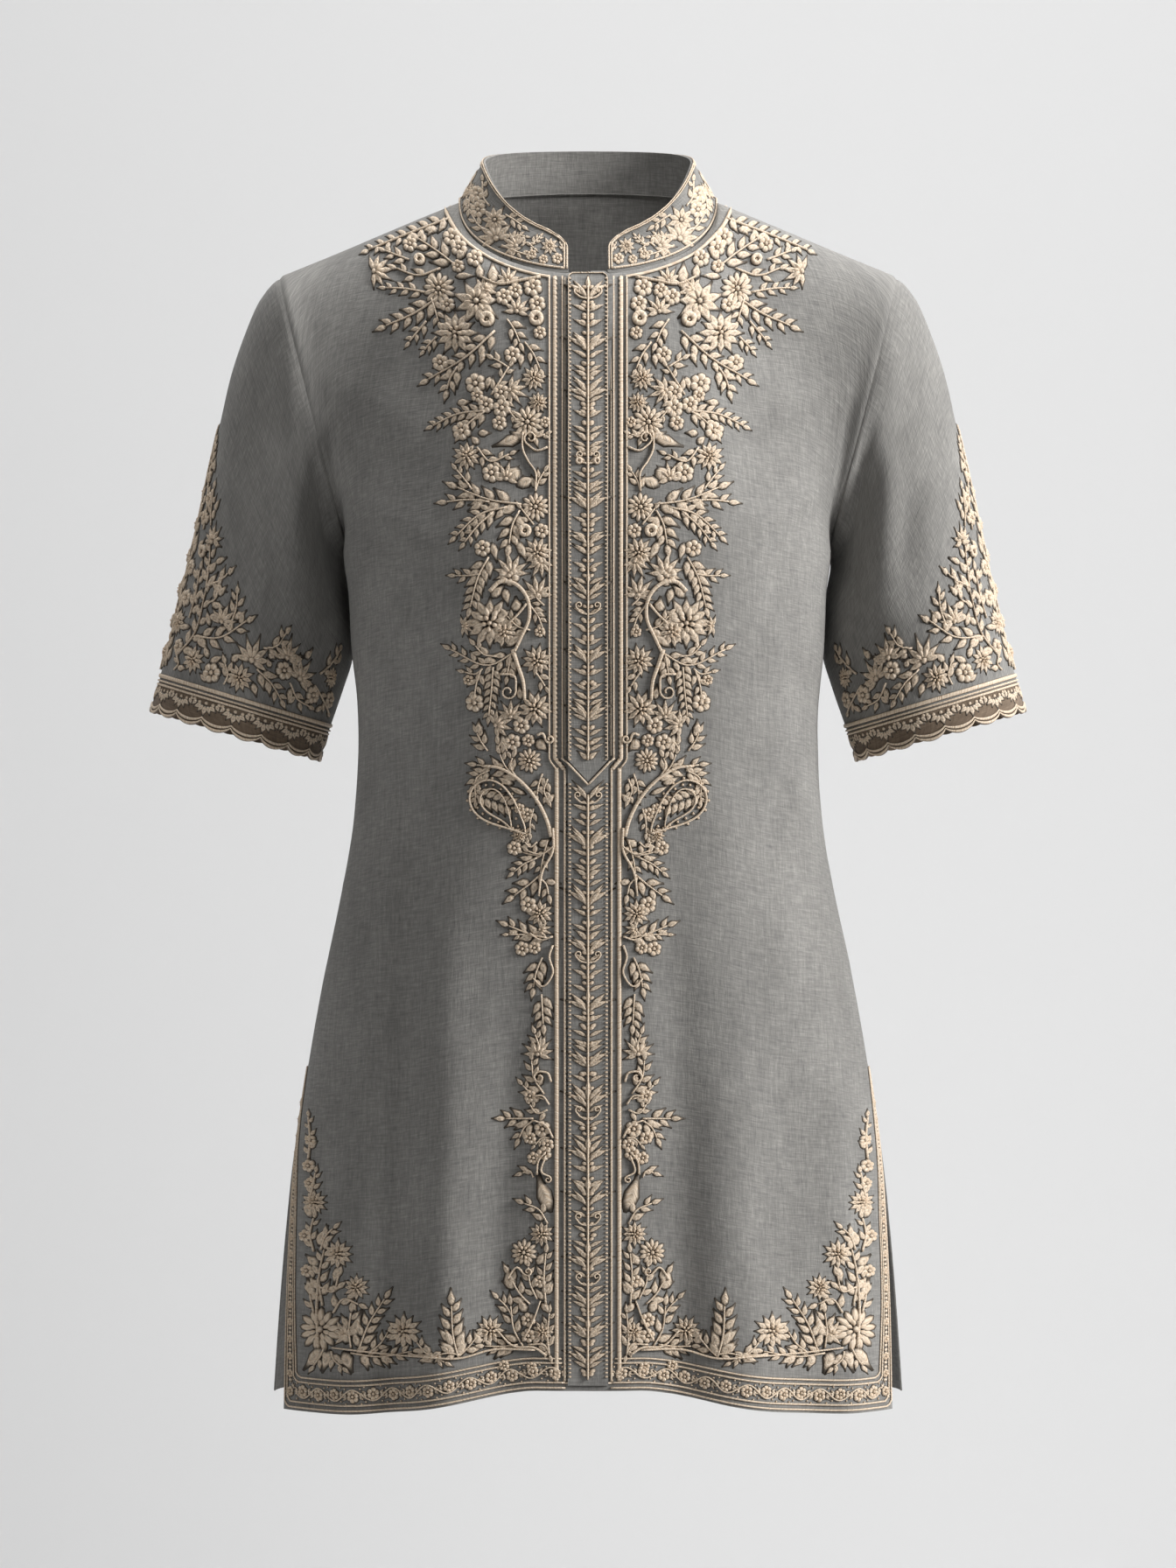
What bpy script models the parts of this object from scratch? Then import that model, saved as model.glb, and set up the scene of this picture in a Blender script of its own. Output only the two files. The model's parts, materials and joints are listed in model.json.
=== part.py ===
"""A kurta tunic with short sleeves and a stand collar, as worn, with no wearer.

Millimetres until the meshes are made, then metres. X is the wearer's left, the front faces -Y and +Z is up.
The origin lies between the shoulders, at the height where the shoulder seams meet the neck.
"""

import math

import bpy
import numpy as np

MM = 0.001
WALL = 1.4
SEAM_GAP = 0.3
SLEEVE_GAP = 0.45
LIFT = 0.35

# Heights of the body, from the point where the shoulder meets the neck.
HEM = -755.0
VENT_TOP = -545.0
UNDERARM = -214.0
POINT_ROW = -352.0
POINT_DROP = 10.0
POINT_CLEAR = 2.0
HEM_RISE = 18.0
HEM_FLAT_HALF = 40.0
HEM_CORNER_X = 188.0
HEM_RISE_POWER = 1.35

# The vents spread the front and back hems apart, forward and sideways, and the front's side edges turn forward.
VENT_OPEN = {"front": -10.0, "back": 30.0}
VENT_STEP = {"front": -6.0, "back": 6.0}
VENT_TURN = 26.0

# Rings of the body. The widest place lies at wide_y, and the side seam at an angle from the centre front.
RING_COLUMNS = ("height", "half_width", "wide_y", "front_y", "back_y", "seam_degrees")
RINGS = (
    (-765, 195.9, 0, -118, 106, 90),
    (-755, 195.5, 0, -118, 106, 90),
    (-700, 193.2, 0, -116.5, 106, 90),
    (-650, 190.2, 0, -115, 106.5, 90),
    (-600, 185.8, -1, -114, 107, 90),
    (-545, 177.5, -2, -113.5, 107.5, 90),
    (-500, 169.8, -3, -113.5, 107, 91),
    (-450, 159.5, -5, -114, 105, 93),
    (-400, 149.6, -8, -115.5, 101, 95),
    (-360, 145.7, -10, -118, 98, 97),
    (-315, 145.4, -12, -123, 96.5, 98),
    (-277, 149.2, -14, -127, 99, 99),
    (-246, 151.0, -14, -128, 101.5, 100),
    (-214, 153.8, -14, -124.5, 104, 100),
    (-190, 145.0, -13, -120, 105.5, 100),
)
RING_POWER = 2.2
VENT_POWER = 1.3

# The bust fills the front on both sides of the centre.
BUST_X = 70.0
BUST_HEIGHT = -240.0
BUST_PUSH = 6.0
BUST_WIDTH = 44.0
BUST_ABOVE = 60.0
BUST_BELOW = 120.0
BUST_FADE = (-120.0, -180.0)

# Soft folds that fall to the hem: place and spread at the top and at the hem, and how far they stand out.
FOLD_COLUMNS = ("x_top", "z_top", "x_hem", "spread_top", "spread_hem", "push")
FRONT_FOLDS = (
    (-82, -330, -95, 15, 26, 8.0),
    (-122, -380, -148, 11, 17, 4.0),
    (-106, -360, -120, 9, 15, -4.5),
    (-46, -420, -50, 12, 18, -3.0),
    (82, -330, 96, 15, 26, 7.5),
    (52, -360, 56, 10, 20, -5.5),
    (120, -420, 134, 10, 18, -4.0),
    (150, -470, 166, 8, 14, 3.0),
)
FOLD_GROWTH = 1.6
BACK_FOLDS = (
    (-96, -300, -120, 16, 26, 7.0),
    (-50, -330, -58, 14, 24, -5.5),
    (6, -300, 10, 16, 26, 6.0),
    (58, -350, 70, 14, 24, -5.0),
    (104, -320, 132, 14, 24, 6.5),
)

# The neck: a tilted loop, deeper at the front. The collar leans in as it rises.
NECK_HALF = 82.0
NECK_SIDE_Y = 8.0
NECK_FRONT_Y = -64.0
NECK_BACK_Y = 58.0
NECK_SIDE_Z = 5.0
NECK_FRONT_Z = -47.0
NECK_BACK_Z = 17.0
COLLAR_LEAN = 0.19
COLLAR_FRONT_Y = -47.0
COLLAR_BACK_Y = 51.0
COLLAR_SIDE_Z = 30.0
COLLAR_FRONT_Z = -23.0
COLLAR_BACK_Z = 42.5
NECK_DIP_POWER = 0.9
COLLAR_DIP_POWER = 1.8
COLLAR_BACK_POWER = 0.8
NECK_SHARE = 0.44

# The yoke: how the cloth arrives at the neck and at the shoulder seam, and how near the armhole it turns.
YOKE_REACH = 170.0
FRONT_TO_NECK = np.array([0, 78.0, 91.0])
FRONT_TO_SHOULDER = np.array([0, 150.0, 28.0])
BACK_TO_NECK = np.array([0, -52.0, 80.0])
BACK_TO_SHOULDER = np.array([0, -140.0, 36.0])
ARMHOLE_POWER = 5
EVEN_REACH, EVEN_WIDE, EVEN_FADE = 0.12, 0.17, 0.25
EVEN_PARTS = ((-1.0, 1), (-0.5, 2), (0.0, 3), (0.5, 2), (1.0, 1))

# The armhole is a flat loop from the shoulder tip to the underarm.
SHOULDER_TIP = np.array([197.0, 5.0, -44.0])
ARMHOLE_FRONT = 52.0
ARMHOLE_BACK = 50.0
ARMHOLE_SPREAD = 2.0

# Rings of the sleeve: its outer and inner edge seen from the front, its middle in y and its half depths.
SLEEVE_COLUMNS = ("outer_x", "outer_z", "inner_x", "inner_z", "middle_y", "front", "back")
SLEEVE_RINGS = (
    (209.0, -58, 154.4, -227, 10, 52.5, 50),
    (219.5, -82, 152.6, -240, 13, 53, 50.5),
    (228.5, -109, 150.4, -255, 15, 54, 51),
    (236.5, -144, 149.6, -270, 16, 55, 52),
    (246.0, -187, 150.4, -286, 15, 56, 53.5),
    (256.0, -231, 155.5, -303, 12, 57, 55),
    (266.5, -275, 161.0, -320, 9, 57, 56.5),
    (270.3, -291, 163.6, -327, 8, 57.3, 57),
    (271.2, -294.5, 164.2, -329, 8, 57.4, 57.1),
    (272.2, -298.5, 164.9, -331.5, 8, 57.5, 57.2),
    (272.9, -301.0, 165.4, -333, 8, 57.5, 57.3),
)
TRIM_RINGS = (
    (273.0, -301.5, 165.5, -333.5, 8, 57.6, 57.4),
    (275.7, -310.0, 168.0, -342.0, 7.5, 58, 57.8),
    (278.4, -320.5, 171.2, -352.0, 7, 58.6, 58.4),
)
SCALLOPS = 18
SCALLOP_STEPS = 4
SCALLOP_DEPTH = 4.5
SCALLOP_POWER = 0.7

# Distances across the panels, from the centre, from the side and up from the hem, where trims begin and end.
PLACKET_HALF = 12.3
CENTRE_LINES = (0.0, PLACKET_HALF, 14.8, 17.2, 20.4, 22.6, 24.6)
SIDE_LINES = (12.0, 9.5, 5.0, 2.5, 0.0)
HEM_LINES = (0.0, 3.5, 6.5, 17.0, 20.5)
BACK_SIDE_LINES = (14.0, 5.0, 0.0)
BACK_HEM_LINES = (0.0, 16.5)
NECK_COLUMNS = 5
SHOULDER_COLUMNS = 4
SKIRT_ROWS = (-690.0, -640.0, -590.0, VENT_TOP)
BODY_ROWS = (-500.0, -450.0, -400.0, POINT_ROW, -315.0, -280.0, -246.0, UNDERARM)
YOKE_ROWS = (0.11, 0.22, 0.33, 0.44, 0.55, 0.66, 0.77, 0.87, 0.95, 0.963, 1.0)
SLIT_HALF = 1.0
UNDERLAP_EDGE = 3.0
UNDERLAP_ROWS = 5
UNDERLAP_TOP = 16.7
UNDERLAP_FOOT = 12.9
WIDE_CORD_COLUMN = 3
THIN_CORD_COLUMN = 5
PLACKET_THICK = 1.1
UNDERLAP_THICK = 0.7
CORD_THICK = 1.3
COLLAR_GAP = 0.7
COLLAR_LINES = np.array([0.0, 0.1, 0.37, 0.64, 0.9, 1.0])
COLLAR_END_HEIGHTS = (0.86, 0.96, 0.995)

LINEN = (0.30, 0.29, 0.27)
CREAM = (0.72, 0.68, 0.58)


def columns_of(names, rows):
    return dict(zip(names, np.array(rows, float).T))


RING = columns_of(RING_COLUMNS, RINGS)


def smooth_curve(places, values, at):
    """A smooth curve through the values of a table, read at other places."""
    at = np.asarray(at, float)
    slopes = np.gradient(values, places)
    index = np.clip(np.searchsorted(places, at) - 1, 0, len(places) - 2)
    step = places[index + 1] - places[index]
    t = (at - places[index]) / step
    start, end = values[index], values[index + 1]
    return (
        start * (2 * t**3 - 3 * t**2 + 1)
        + slopes[index] * step * (t**3 - 2 * t**2 + t)
        + end * (3 * t**2 - 2 * t**3)
        + slopes[index + 1] * step * (t**3 - t**2)
    )


def ring_value(name, height):
    return smooth_curve(RING["height"], RING[name], height)


def ease(t):
    t = np.clip(t, 0, 1)
    return t * t * (3 - 2 * t)


def folds_at(x, z, folds):
    """How far the folds push the cloth out at a place seen from the front."""
    push = np.zeros(np.broadcast(x, z).shape)
    for row in folds:
        fold = dict(zip(FOLD_COLUMNS, row))
        down = np.clip((fold["z_top"] - z) / (fold["z_top"] - HEM), 0, 1.1)
        middle = fold["x_top"] + (fold["x_hem"] - fold["x_top"]) * down
        spread = fold["spread_top"] + (fold["spread_hem"] - fold["spread_top"]) * down
        push = push + fold["push"] * ease(down * FOLD_GROWTH) * np.exp(-(((x - middle) / spread) ** 2))
    return push


def bust_at(x, z):
    along = np.where(z > BUST_HEIGHT, (z - BUST_HEIGHT) / BUST_ABOVE, (z - BUST_HEIGHT) / BUST_BELOW)
    return BUST_PUSH * np.exp(-(((np.abs(x) - BUST_X) / BUST_WIDTH) ** 2) - along**2)


def vent_spread(height):
    """How far a vent has opened at a height, from nothing at its top to one at the hem."""
    return np.clip((VENT_TOP - height) / (VENT_TOP - HEM), 0, 1.1) ** VENT_POWER


def seam_angle(height, front):
    """The angle of a panel's side edge. Below the vent's top the front's edge turns forward."""
    turn = VENT_TURN * vent_spread(height) if front else 0
    return np.radians(ring_value("seam_degrees", height) - turn)


def body_ring(height, angle, front):
    """Points of the body's ring, at angles from the centre front, for the panel that they lie on."""
    spread = vent_spread(height)
    panel = "front" if front else "back"
    power = 2 / RING_POWER
    half = ring_value("half_width", height) + VENT_STEP[panel] * spread
    half = half * (np.sin(seam_angle(height, False)) / np.sin(seam_angle(height, front))) ** power
    wide_y = ring_value("wide_y", height) + VENT_OPEN[panel] * spread
    x = half * np.abs(np.sin(angle)) ** power
    ahead = np.cos(angle) > 0
    depth = np.where(ahead, wide_y - ring_value("front_y", height), ring_value("back_y", height) - wide_y)
    y = wide_y - np.sign(np.cos(angle)) * depth * np.abs(np.cos(angle)) ** power
    return x, y, height + 0 * x


def panel_angle(share, height, front):
    """Angle of a place that lies a share of the way from the panel's centre to its side."""
    seam = seam_angle(height, front)
    return share * seam if front else math.pi - share * (math.pi - seam)


def dressed(points, side, front):
    """Adds bust and folds, and puts the points on the wearer's left (1) or right (-1)."""
    x, y, z = points
    x = x * side
    fade = np.clip((BUST_FADE[0] - z) / (BUST_FADE[0] - BUST_FADE[1]), 0, 1)
    if front:
        y = y - folds_at(x, z, FRONT_FOLDS) - bust_at(x, z) * fade
    else:
        y = y + folds_at(x, z, BACK_FOLDS)
    return np.stack([x, y, z], -1)


def hem_rise(share, front):
    """The front hem is lowest near its corners and rises to the centre."""
    if not front:
        return 0 * share
    x = HEM_CORNER_X * np.sin(share * math.pi / 2) ** (2 / RING_POWER)
    away = np.clip((x - HEM_FLAT_HALF) / (HEM_CORNER_X - HEM_FLAT_HALF), 0, 1)
    return HEM_RISE * (1 - np.sin(away * math.pi / 2) ** HEM_RISE_POWER)


def skirt_row(level, share, front, side, drop=0.0):
    """A row below the underarm. Near the hem it follows the hem's curve, higher up it is level."""
    fade = ease((VENT_TOP - level) / (VENT_TOP - HEM))
    height = level + hem_rise(share, front) * fade - drop
    return dressed(body_ring(height, panel_angle(share, height, front), front), side, front)


def neck_point(angle):
    """The neck seam, at an angle from the centre front round to the centre back."""
    ahead = np.cos(angle) > 0
    cosine = np.abs(np.cos(angle))
    x = NECK_HALF * np.sin(angle)
    y = np.where(
        ahead,
        NECK_SIDE_Y + (NECK_FRONT_Y - NECK_SIDE_Y) * cosine,
        NECK_SIDE_Y + (NECK_BACK_Y - NECK_SIDE_Y) * cosine,
    )
    z = np.where(
        ahead,
        NECK_SIDE_Z + (NECK_FRONT_Z - NECK_SIDE_Z) * cosine**NECK_DIP_POWER,
        NECK_SIDE_Z + (NECK_BACK_Z - NECK_SIDE_Z) * cosine,
    )
    return np.stack([x, y, z], -1)


def collar_top(angle):
    """The collar's upper edge, above the neck point at the same angle."""
    ahead = np.cos(angle) > 0
    cosine = np.abs(np.cos(angle))
    x = NECK_HALF * np.sin(angle) * (1 - COLLAR_LEAN * np.sin(angle) ** 2)
    y = np.where(
        ahead,
        NECK_SIDE_Y + (COLLAR_FRONT_Y - NECK_SIDE_Y) * cosine,
        NECK_SIDE_Y + (COLLAR_BACK_Y - NECK_SIDE_Y) * cosine,
    )
    z = np.where(
        ahead,
        COLLAR_SIDE_Z + (COLLAR_FRONT_Z - COLLAR_SIDE_Z) * cosine**COLLAR_DIP_POWER,
        COLLAR_SIDE_Z + (COLLAR_BACK_Z - COLLAR_SIDE_Z) * cosine**COLLAR_BACK_POWER,
    )
    return np.stack([x, y, z], -1)


def top_edge(share, front):
    """The panel's upper edge: the neck, then the shoulder seam out to its tip."""
    turn = np.clip(share / NECK_SHARE, 0, 1) * math.pi / 2
    neck = neck_point(turn if front else math.pi - turn)
    along = np.clip((share - NECK_SHARE) / (1 - NECK_SHARE), 0, 1)[..., None]
    return neck + (SHOULDER_TIP - neck_point(np.array(math.pi / 2))) * along


def armhole(turn, front):
    """The armhole loop: turn 0 is the underarm, 1 the shoulder tip."""
    angle = (1 - turn) * math.pi
    foot = np.array(
        [v.item() for v in body_ring(np.array(UNDERARM), panel_angle(1.0, np.array(UNDERARM), True), True)]
    )
    middle, half = (SHOULDER_TIP + foot) / 2, (SHOULDER_TIP - foot) / 2
    depth = -ARMHOLE_FRONT if front else ARMHOLE_BACK
    across = np.stack([0 * angle, depth * np.sin(angle), 0 * angle], -1)
    return middle + np.cos(angle)[..., None] * half + across


def blend(t, start, leave, end, arrive):
    """A curve that leaves one point and arrives at another in given directions."""
    return (
        start * (2 * t**3 - 3 * t**2 + 1)
        + leave * (t**3 - 2 * t**2 + t)
        + end * (3 * t**2 - 2 * t**3)
        + arrive * (t**3 - t**2)
    )


def yoke_line(turn, share, front):
    """A line above the underarm, from the centre to the armhole."""

    def at(height):
        return np.stack(body_ring(np.array(height), panel_angle(share, np.array(height), front), front), -1)

    start = at(UNDERARM)
    leave = (at(UNDERARM + 2) - at(UNDERARM - 2)) / 4 * YOKE_REACH
    end = top_edge(share, front)
    outward = ease(share / NECK_SHARE)[..., None]
    if front:
        arrive = FRONT_TO_NECK * (1 - outward) + FRONT_TO_SHOULDER * outward
    else:
        arrive = BACK_TO_NECK * (1 - outward) + BACK_TO_SHOULDER * outward
    rows = blend(turn, start, leave, end, arrive)
    edge = armhole(np.array(turn), front) - rows[-1]
    return rows + edge * (share**ARMHOLE_POWER)[..., None]


def yoke_row(turn, share, front, side):
    """A row above the underarm, evened out across the line that comes down from the neck's corner."""
    reach = EVEN_REACH * ease(turn / EVEN_FADE) * ease((1 - turn) / EVEN_FADE)
    reach = reach * np.exp(-(((share - NECK_SHARE) / EVEN_WIDE) ** 2))
    lines = [weight * yoke_line(turn, share + reach * part, front) for part, weight in EVEN_PARTS]
    rows = sum(lines) / sum(weight for _, weight in EVEN_PARTS)
    return dressed((rows[..., 0], rows[..., 1], rows[..., 2]), side, front)


def place_columns(line, shares, centre_lines, side_lines):
    """Reads a dense line at set distances from the centre and from the side, evenly in between."""
    steps = np.linalg.norm(np.diff(line, axis=0), axis=1)
    length = np.concatenate([[0], np.cumsum(steps)])
    shoulder = np.interp(NECK_SHARE, shares, length)
    stops = list(centre_lines)
    stops += list(np.linspace(centre_lines[-1], shoulder, NECK_COLUMNS + 1)[1:])
    stops += list(np.linspace(shoulder, length[-1] - side_lines[0], SHOULDER_COLUMNS + 1)[1:])
    stops += [length[-1] - far for far in side_lines[1:]]
    return np.stack([np.interp(stops, length, line[:, axis]) for axis in range(3)], -1)


def unit(vectors):
    return vectors / np.linalg.norm(vectors, axis=-1, keepdims=True)


def grid_normals(points, outward):
    """Normals of a grid of rows and columns, turned to the side that outward gives."""
    across = np.gradient(points, axis=1)
    along = np.gradient(points, axis=0)
    return unit(np.cross(across, along)) * outward


def panel_grid(front, centre_lines, side_lines, hem_lines):
    """Outer points of a whole panel, rows from the hem up and columns from the wearer's right to left."""
    shares = np.linspace(0, 1, 241)
    rows = []
    for side in (-1, 1):
        lines = [skirt_row(HEM + line, shares, front, side) for line in hem_lines]
        lines += [skirt_row(level, shares, front, side) for level in SKIRT_ROWS + BODY_ROWS]
        lines += [yoke_row(turn, shares, front, side) for turn in YOKE_ROWS]
        placed = [place_columns(line, shares, centre_lines, side_lines) for line in lines]
        rows.append(np.array(placed))
    return np.concatenate([rows[0][:, :0:-1], rows[1]], axis=1)


def material(name, colour, roughness):
    made = bpy.data.materials.new(name)
    made.use_nodes = True
    shader = made.node_tree.nodes["Principled BSDF"]
    shader.inputs["Base Color"].default_value = (*colour, 1)
    shader.inputs["Roughness"].default_value = roughness
    made.diffuse_color = (*colour, 1)
    return made


def make_wall(name, places, quads, finish):
    """A closed wall. Each place has an outer and an inner point, and quads run round as seen from outside."""
    index = {key: number for number, key in enumerate(places)}
    count = len(index)
    points = [pair[0] for pair in places.values()] + [pair[1] for pair in places.values()]
    faces = []
    edges = {}
    for quad in quads:
        corners = [index[key] for key in quad]
        faces.append(corners)
        faces.append([corner + count for corner in reversed(corners)])
        for start, end in zip(corners, corners[1:] + corners[:1]):
            edges[(start, end)] = True
    for start, end in edges:
        if (end, start) not in edges:
            faces.append([end, start, start + count, end + count])
    mesh = bpy.data.meshes.new(name)
    mesh.from_pydata([tuple(float(v) * MM for v in point) for point in points], [], faces)
    mesh.validate()
    mesh.shade_smooth()
    mesh.set_sharp_from_angle(angle=math.radians(40))
    made = bpy.data.objects.new(name, mesh)
    made.data.materials.append(finish)
    bpy.context.scene.collection.objects.link(made)
    return made


def cell(row, column):
    return ((row, column), (row, column + 1), (row + 1, column + 1), (row + 1, column))


def raised(name, points, normals, cells, finish, lift, thick, flip=False):
    """A strip made from a panel's own points, moved out from it."""
    quads = [tuple(reversed(quad)) if flip else quad for quad in (cell(*at) for at in cells)]
    places = {}
    for quad in quads:
        for key in quad:
            row, column = key[0], key[1] % points.shape[1]
            foot = points[row, column] + normals[row, column] * lift
            places[(row, column)] = (foot + normals[row, column] * thick, foot)
    wrapped = [tuple((row, column % points.shape[1]) for row, column in quad) for quad in quads]
    return make_wall(name, places, wrapped, finish)


def pull_in(points, inner, edge, beside):
    """Moves a side seam's column half the seam gap back into its own panel."""
    away = unit(points[:, beside] - points[:, edge]) * SEAM_GAP / 2
    points[:, edge] += away
    inner[:, edge] += away


def sleeve_ring(row, turns):
    """A ring of the sleeve. Turns run from the underarm up the front to the shoulder and down the back."""
    values = dict(zip(SLEEVE_COLUMNS, row))
    outer = np.array([values["outer_x"], values["middle_y"], values["outer_z"]])
    inner = np.array([values["inner_x"], values["middle_y"], values["inner_z"]])
    angle = np.pi * (1 - turns)
    depth = np.where(np.sin(angle) > 0, -values["front"], -values["back"]) * np.sin(angle)
    across = np.stack([0 * angle, depth, 0 * angle], -1)
    return (outer + inner) / 2 + np.cos(angle)[..., None] * (outer - inner) / 2 + across


for old in list(bpy.data.objects):
    bpy.data.objects.remove(old)

linen = material("linen", LINEN, 0.85)
cream_thread = material("cream_thread", CREAM, 0.6)
trim_lace = material("trim_lace", CREAM, 0.7)

front = panel_grid(True, CENTRE_LINES, SIDE_LINES, HEM_LINES)
back = panel_grid(False, (0.0,), BACK_SIDE_LINES, BACK_HEM_LINES)
front_n = grid_normals(front, 1)
back_n = grid_normals(back, -1)

front_top, back_top = len(front) - 1, len(back) - 1
yoke_count = len(YOKE_ROWS)
front_underarm, back_underarm = front_top - yoke_count, back_top - yoke_count
centre = front.shape[1] // 2
back_centre = back.shape[1] // 2
neck_columns = len(CENTRE_LINES) - 1 + NECK_COLUMNS
halves = ((-1, "right"), (1, "left"))

# Shared wall directions on the seams, so that the walls meet as mitres.
shoulder_rise = math.atan2(NECK_SIDE_Z - SHOULDER_TIP[2], SHOULDER_TIP[0] - NECK_HALF)
for side, front_edge, back_edge in ((-1, 0, 0), (1, -1, -1)):
    for row in range(len(BODY_ROWS) + yoke_count + 1):
        front_row, back_row = front_top - row, back_top - row
        together = unit(front_n[front_row, front_edge] + back_n[back_row, back_edge])
        if row >= yoke_count:
            front_n[front_row, front_edge] = together
            back_n[back_row, back_edge] = together
    tilt = np.array([side * math.sin(shoulder_rise), 0, math.cos(shoulder_rise)])
    for column in range(neck_columns, centre + 1):
        front_n[front_top, centre + side * column] = tilt
    for column in range(NECK_COLUMNS, back_centre + 1):
        back_n[back_top, back_centre + side * column] = tilt


def armhole_columns(side):
    """Rows and panels round the armhole, from the underarm up the front and down the back."""
    edge = -1 if side > 0 else 0
    rows = [("front", front_underarm + step, edge) for step in range(yoke_count + 1)]
    return rows + [("back", back_top - step, edge) for step in range(1, yoke_count)]


turns = np.array([0.0, *YOKE_ROWS] + [2 - turn for turn in YOKE_ROWS[-2::-1]])
arm_axis = np.array([SHOULDER_TIP[2] - UNDERARM, 0, -(SHOULDER_TIP[0] - armhole(np.array(0.0), True)[0])])
arm_axis = unit(arm_axis)
sleeves = {}
for side in (-1, 1):
    turned = np.array([side, 1, 1])
    loop = np.array([armhole(np.array(min(t, 2 - t)), t <= 1) for t in turns]) + arm_axis * SLEEVE_GAP
    rings = np.array([loop] + [sleeve_ring(row, turns) for row in SLEEVE_RINGS]) * turned
    closed = np.concatenate([rings[:, -1:], rings, rings[:, :1]], axis=1)
    normals = grid_normals(closed, -side)[:, 1:-1]
    for number, (panel, row, edge) in enumerate(armhole_columns(side)):
        grid = front_n if panel == "front" else back_n
        radial = unit(rings[0, number] - rings[0].mean(0))
        together = unit(grid[row, edge] + normals[0, number] + ARMHOLE_SPREAD * radial)
        normals[0, number] = together
        grid[row, edge] = together
        if number == 0:
            back_n[back_underarm, edge] = together
        if number == yoke_count:
            back_n[back_top, edge] = together
    sleeves[side] = (rings, normals)

# The collar rises from the neck seam. Its columns are the neck points of the panels.
neck_keys = [("front", centre + step) for step in range(1, neck_columns + 1)]
neck_keys += [("back", back_centre + NECK_COLUMNS - step) for step in range(1, NECK_COLUMNS + 1)]
top_rows = {"front": front[front_top], "back": back[back_top]}
half_neck = np.array([top_rows[name][column] for name, column in neck_keys])
behind = half_neck[:, 1] - NECK_SIDE_Y
depths = np.where(behind < 0, NECK_SIDE_Y - NECK_FRONT_Y, NECK_BACK_Y - NECK_SIDE_Y)
half_angles = np.arctan2(half_neck[:, 0] / NECK_HALF, -behind / depths)
half_collar = []
for number, angle in enumerate(half_angles):
    base, top = neck_point(angle), collar_top(angle)
    base = base + unit(top - base) * COLLAR_GAP
    height = COLLAR_END_HEIGHTS[number] if number < len(COLLAR_END_HEIGHTS) else 1.0
    half_collar.append(base + (top - base) * (COLLAR_LINES * height)[:, None])
half_collar = np.array(half_collar).transpose(1, 0, 2)
collar = np.concatenate([half_collar * np.array([-1, 1, 1]), half_collar[:, -2::-1]], axis=1)
collar_n = grid_normals(collar, -1)
count = collar.shape[1]
for number, (name, column) in enumerate(neck_keys):
    grid = front_n if name == "front" else back_n
    top, middle = (front_top, centre) if name == "front" else (back_top, back_centre)
    for place, panel_column in ((count - 1 - number, column), (number, 2 * middle - column)):
        together = unit(grid[top, panel_column] + collar_n[0, place])
        collar_n[0, place] = together
        grid[top, panel_column] = together
        if name == "front" and number == neck_columns - 1:
            back_side = 1 if panel_column > middle else -1
            back_n[back_top, back_centre + back_side * NECK_COLUMNS] = together

# Inner faces of the walls, then the gaps at the seams.
front_inner = front - front_n * WALL
back_inner = back - back_n * WALL
bare_front = front.copy()
for edge, beside in ((0, 1), (-1, -2)):
    for grid, inner, underarm in ((front, front_inner, front_underarm), (back, back_inner, back_underarm)):
        below = slice(None, underarm + 1)
        pull_in(grid[below], inner[below], edge, beside)
both_panels = (
    (front, front_inner, centre, neck_columns),
    (back, back_inner, back_centre, NECK_COLUMNS),
)
for grid, inner, middle, first in both_panels:
    for side in (-1, 1):
        for column in range(first, middle + 1):
            at = middle + side * column
            away = unit(grid[-2, at] - grid[-1, at]) * SEAM_GAP / 2
            grid[-1, at] += away
            inner[-1, at] += away


def slit_key(row, column, part, slit_row):
    return (row, column, part) if column == centre and row > slit_row else (row, column, 0)


def panel_with_slit():
    """The front, cut open at the centre from the neck down to the placket's point."""
    slit_row = len(HEM_LINES) + len(SKIRT_ROWS) + BODY_ROWS.index(POINT_ROW)
    places, quads = {}, []
    for row in range(front_top):
        for column in range(front.shape[1] - 1):
            part = -1 if column < centre else 1
            quad = tuple(slit_key(*key, part, slit_row) for key in cell(row, column))
            quads.append(quad)
            for key in quad:
                shift = np.array([SLIT_HALF * key[2], 0, 0])
                places[key] = (front[key[0], key[1]] + shift, front_inner[key[0], key[1]] + shift)
    return make_wall("front_panel", places, quads, linen)


def plain_panel():
    places = {(r, c): (back[r, c], back_inner[r, c]) for r in range(len(back)) for c in range(back.shape[1])}
    quads = [tuple(reversed(cell(r, c))) for r in range(back_top) for c in range(back.shape[1] - 1)]
    return make_wall("back_panel", places, quads, linen)


def tube_wall(name, rings, normals, finish, side):
    total = rings.shape[1]
    inner = rings - normals * WALL
    places = {(r, c): (rings[r, c], inner[r, c]) for r in range(len(rings)) for c in range(total)}
    quads = []
    for r in range(len(rings) - 1):
        for c in range(total):
            quad = [(row, column % total) for row, column in cell(r, c)]
            quads.append(tuple(quad if side < 0 else reversed(quad)))
    return make_wall(name, places, quads, finish)


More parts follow.
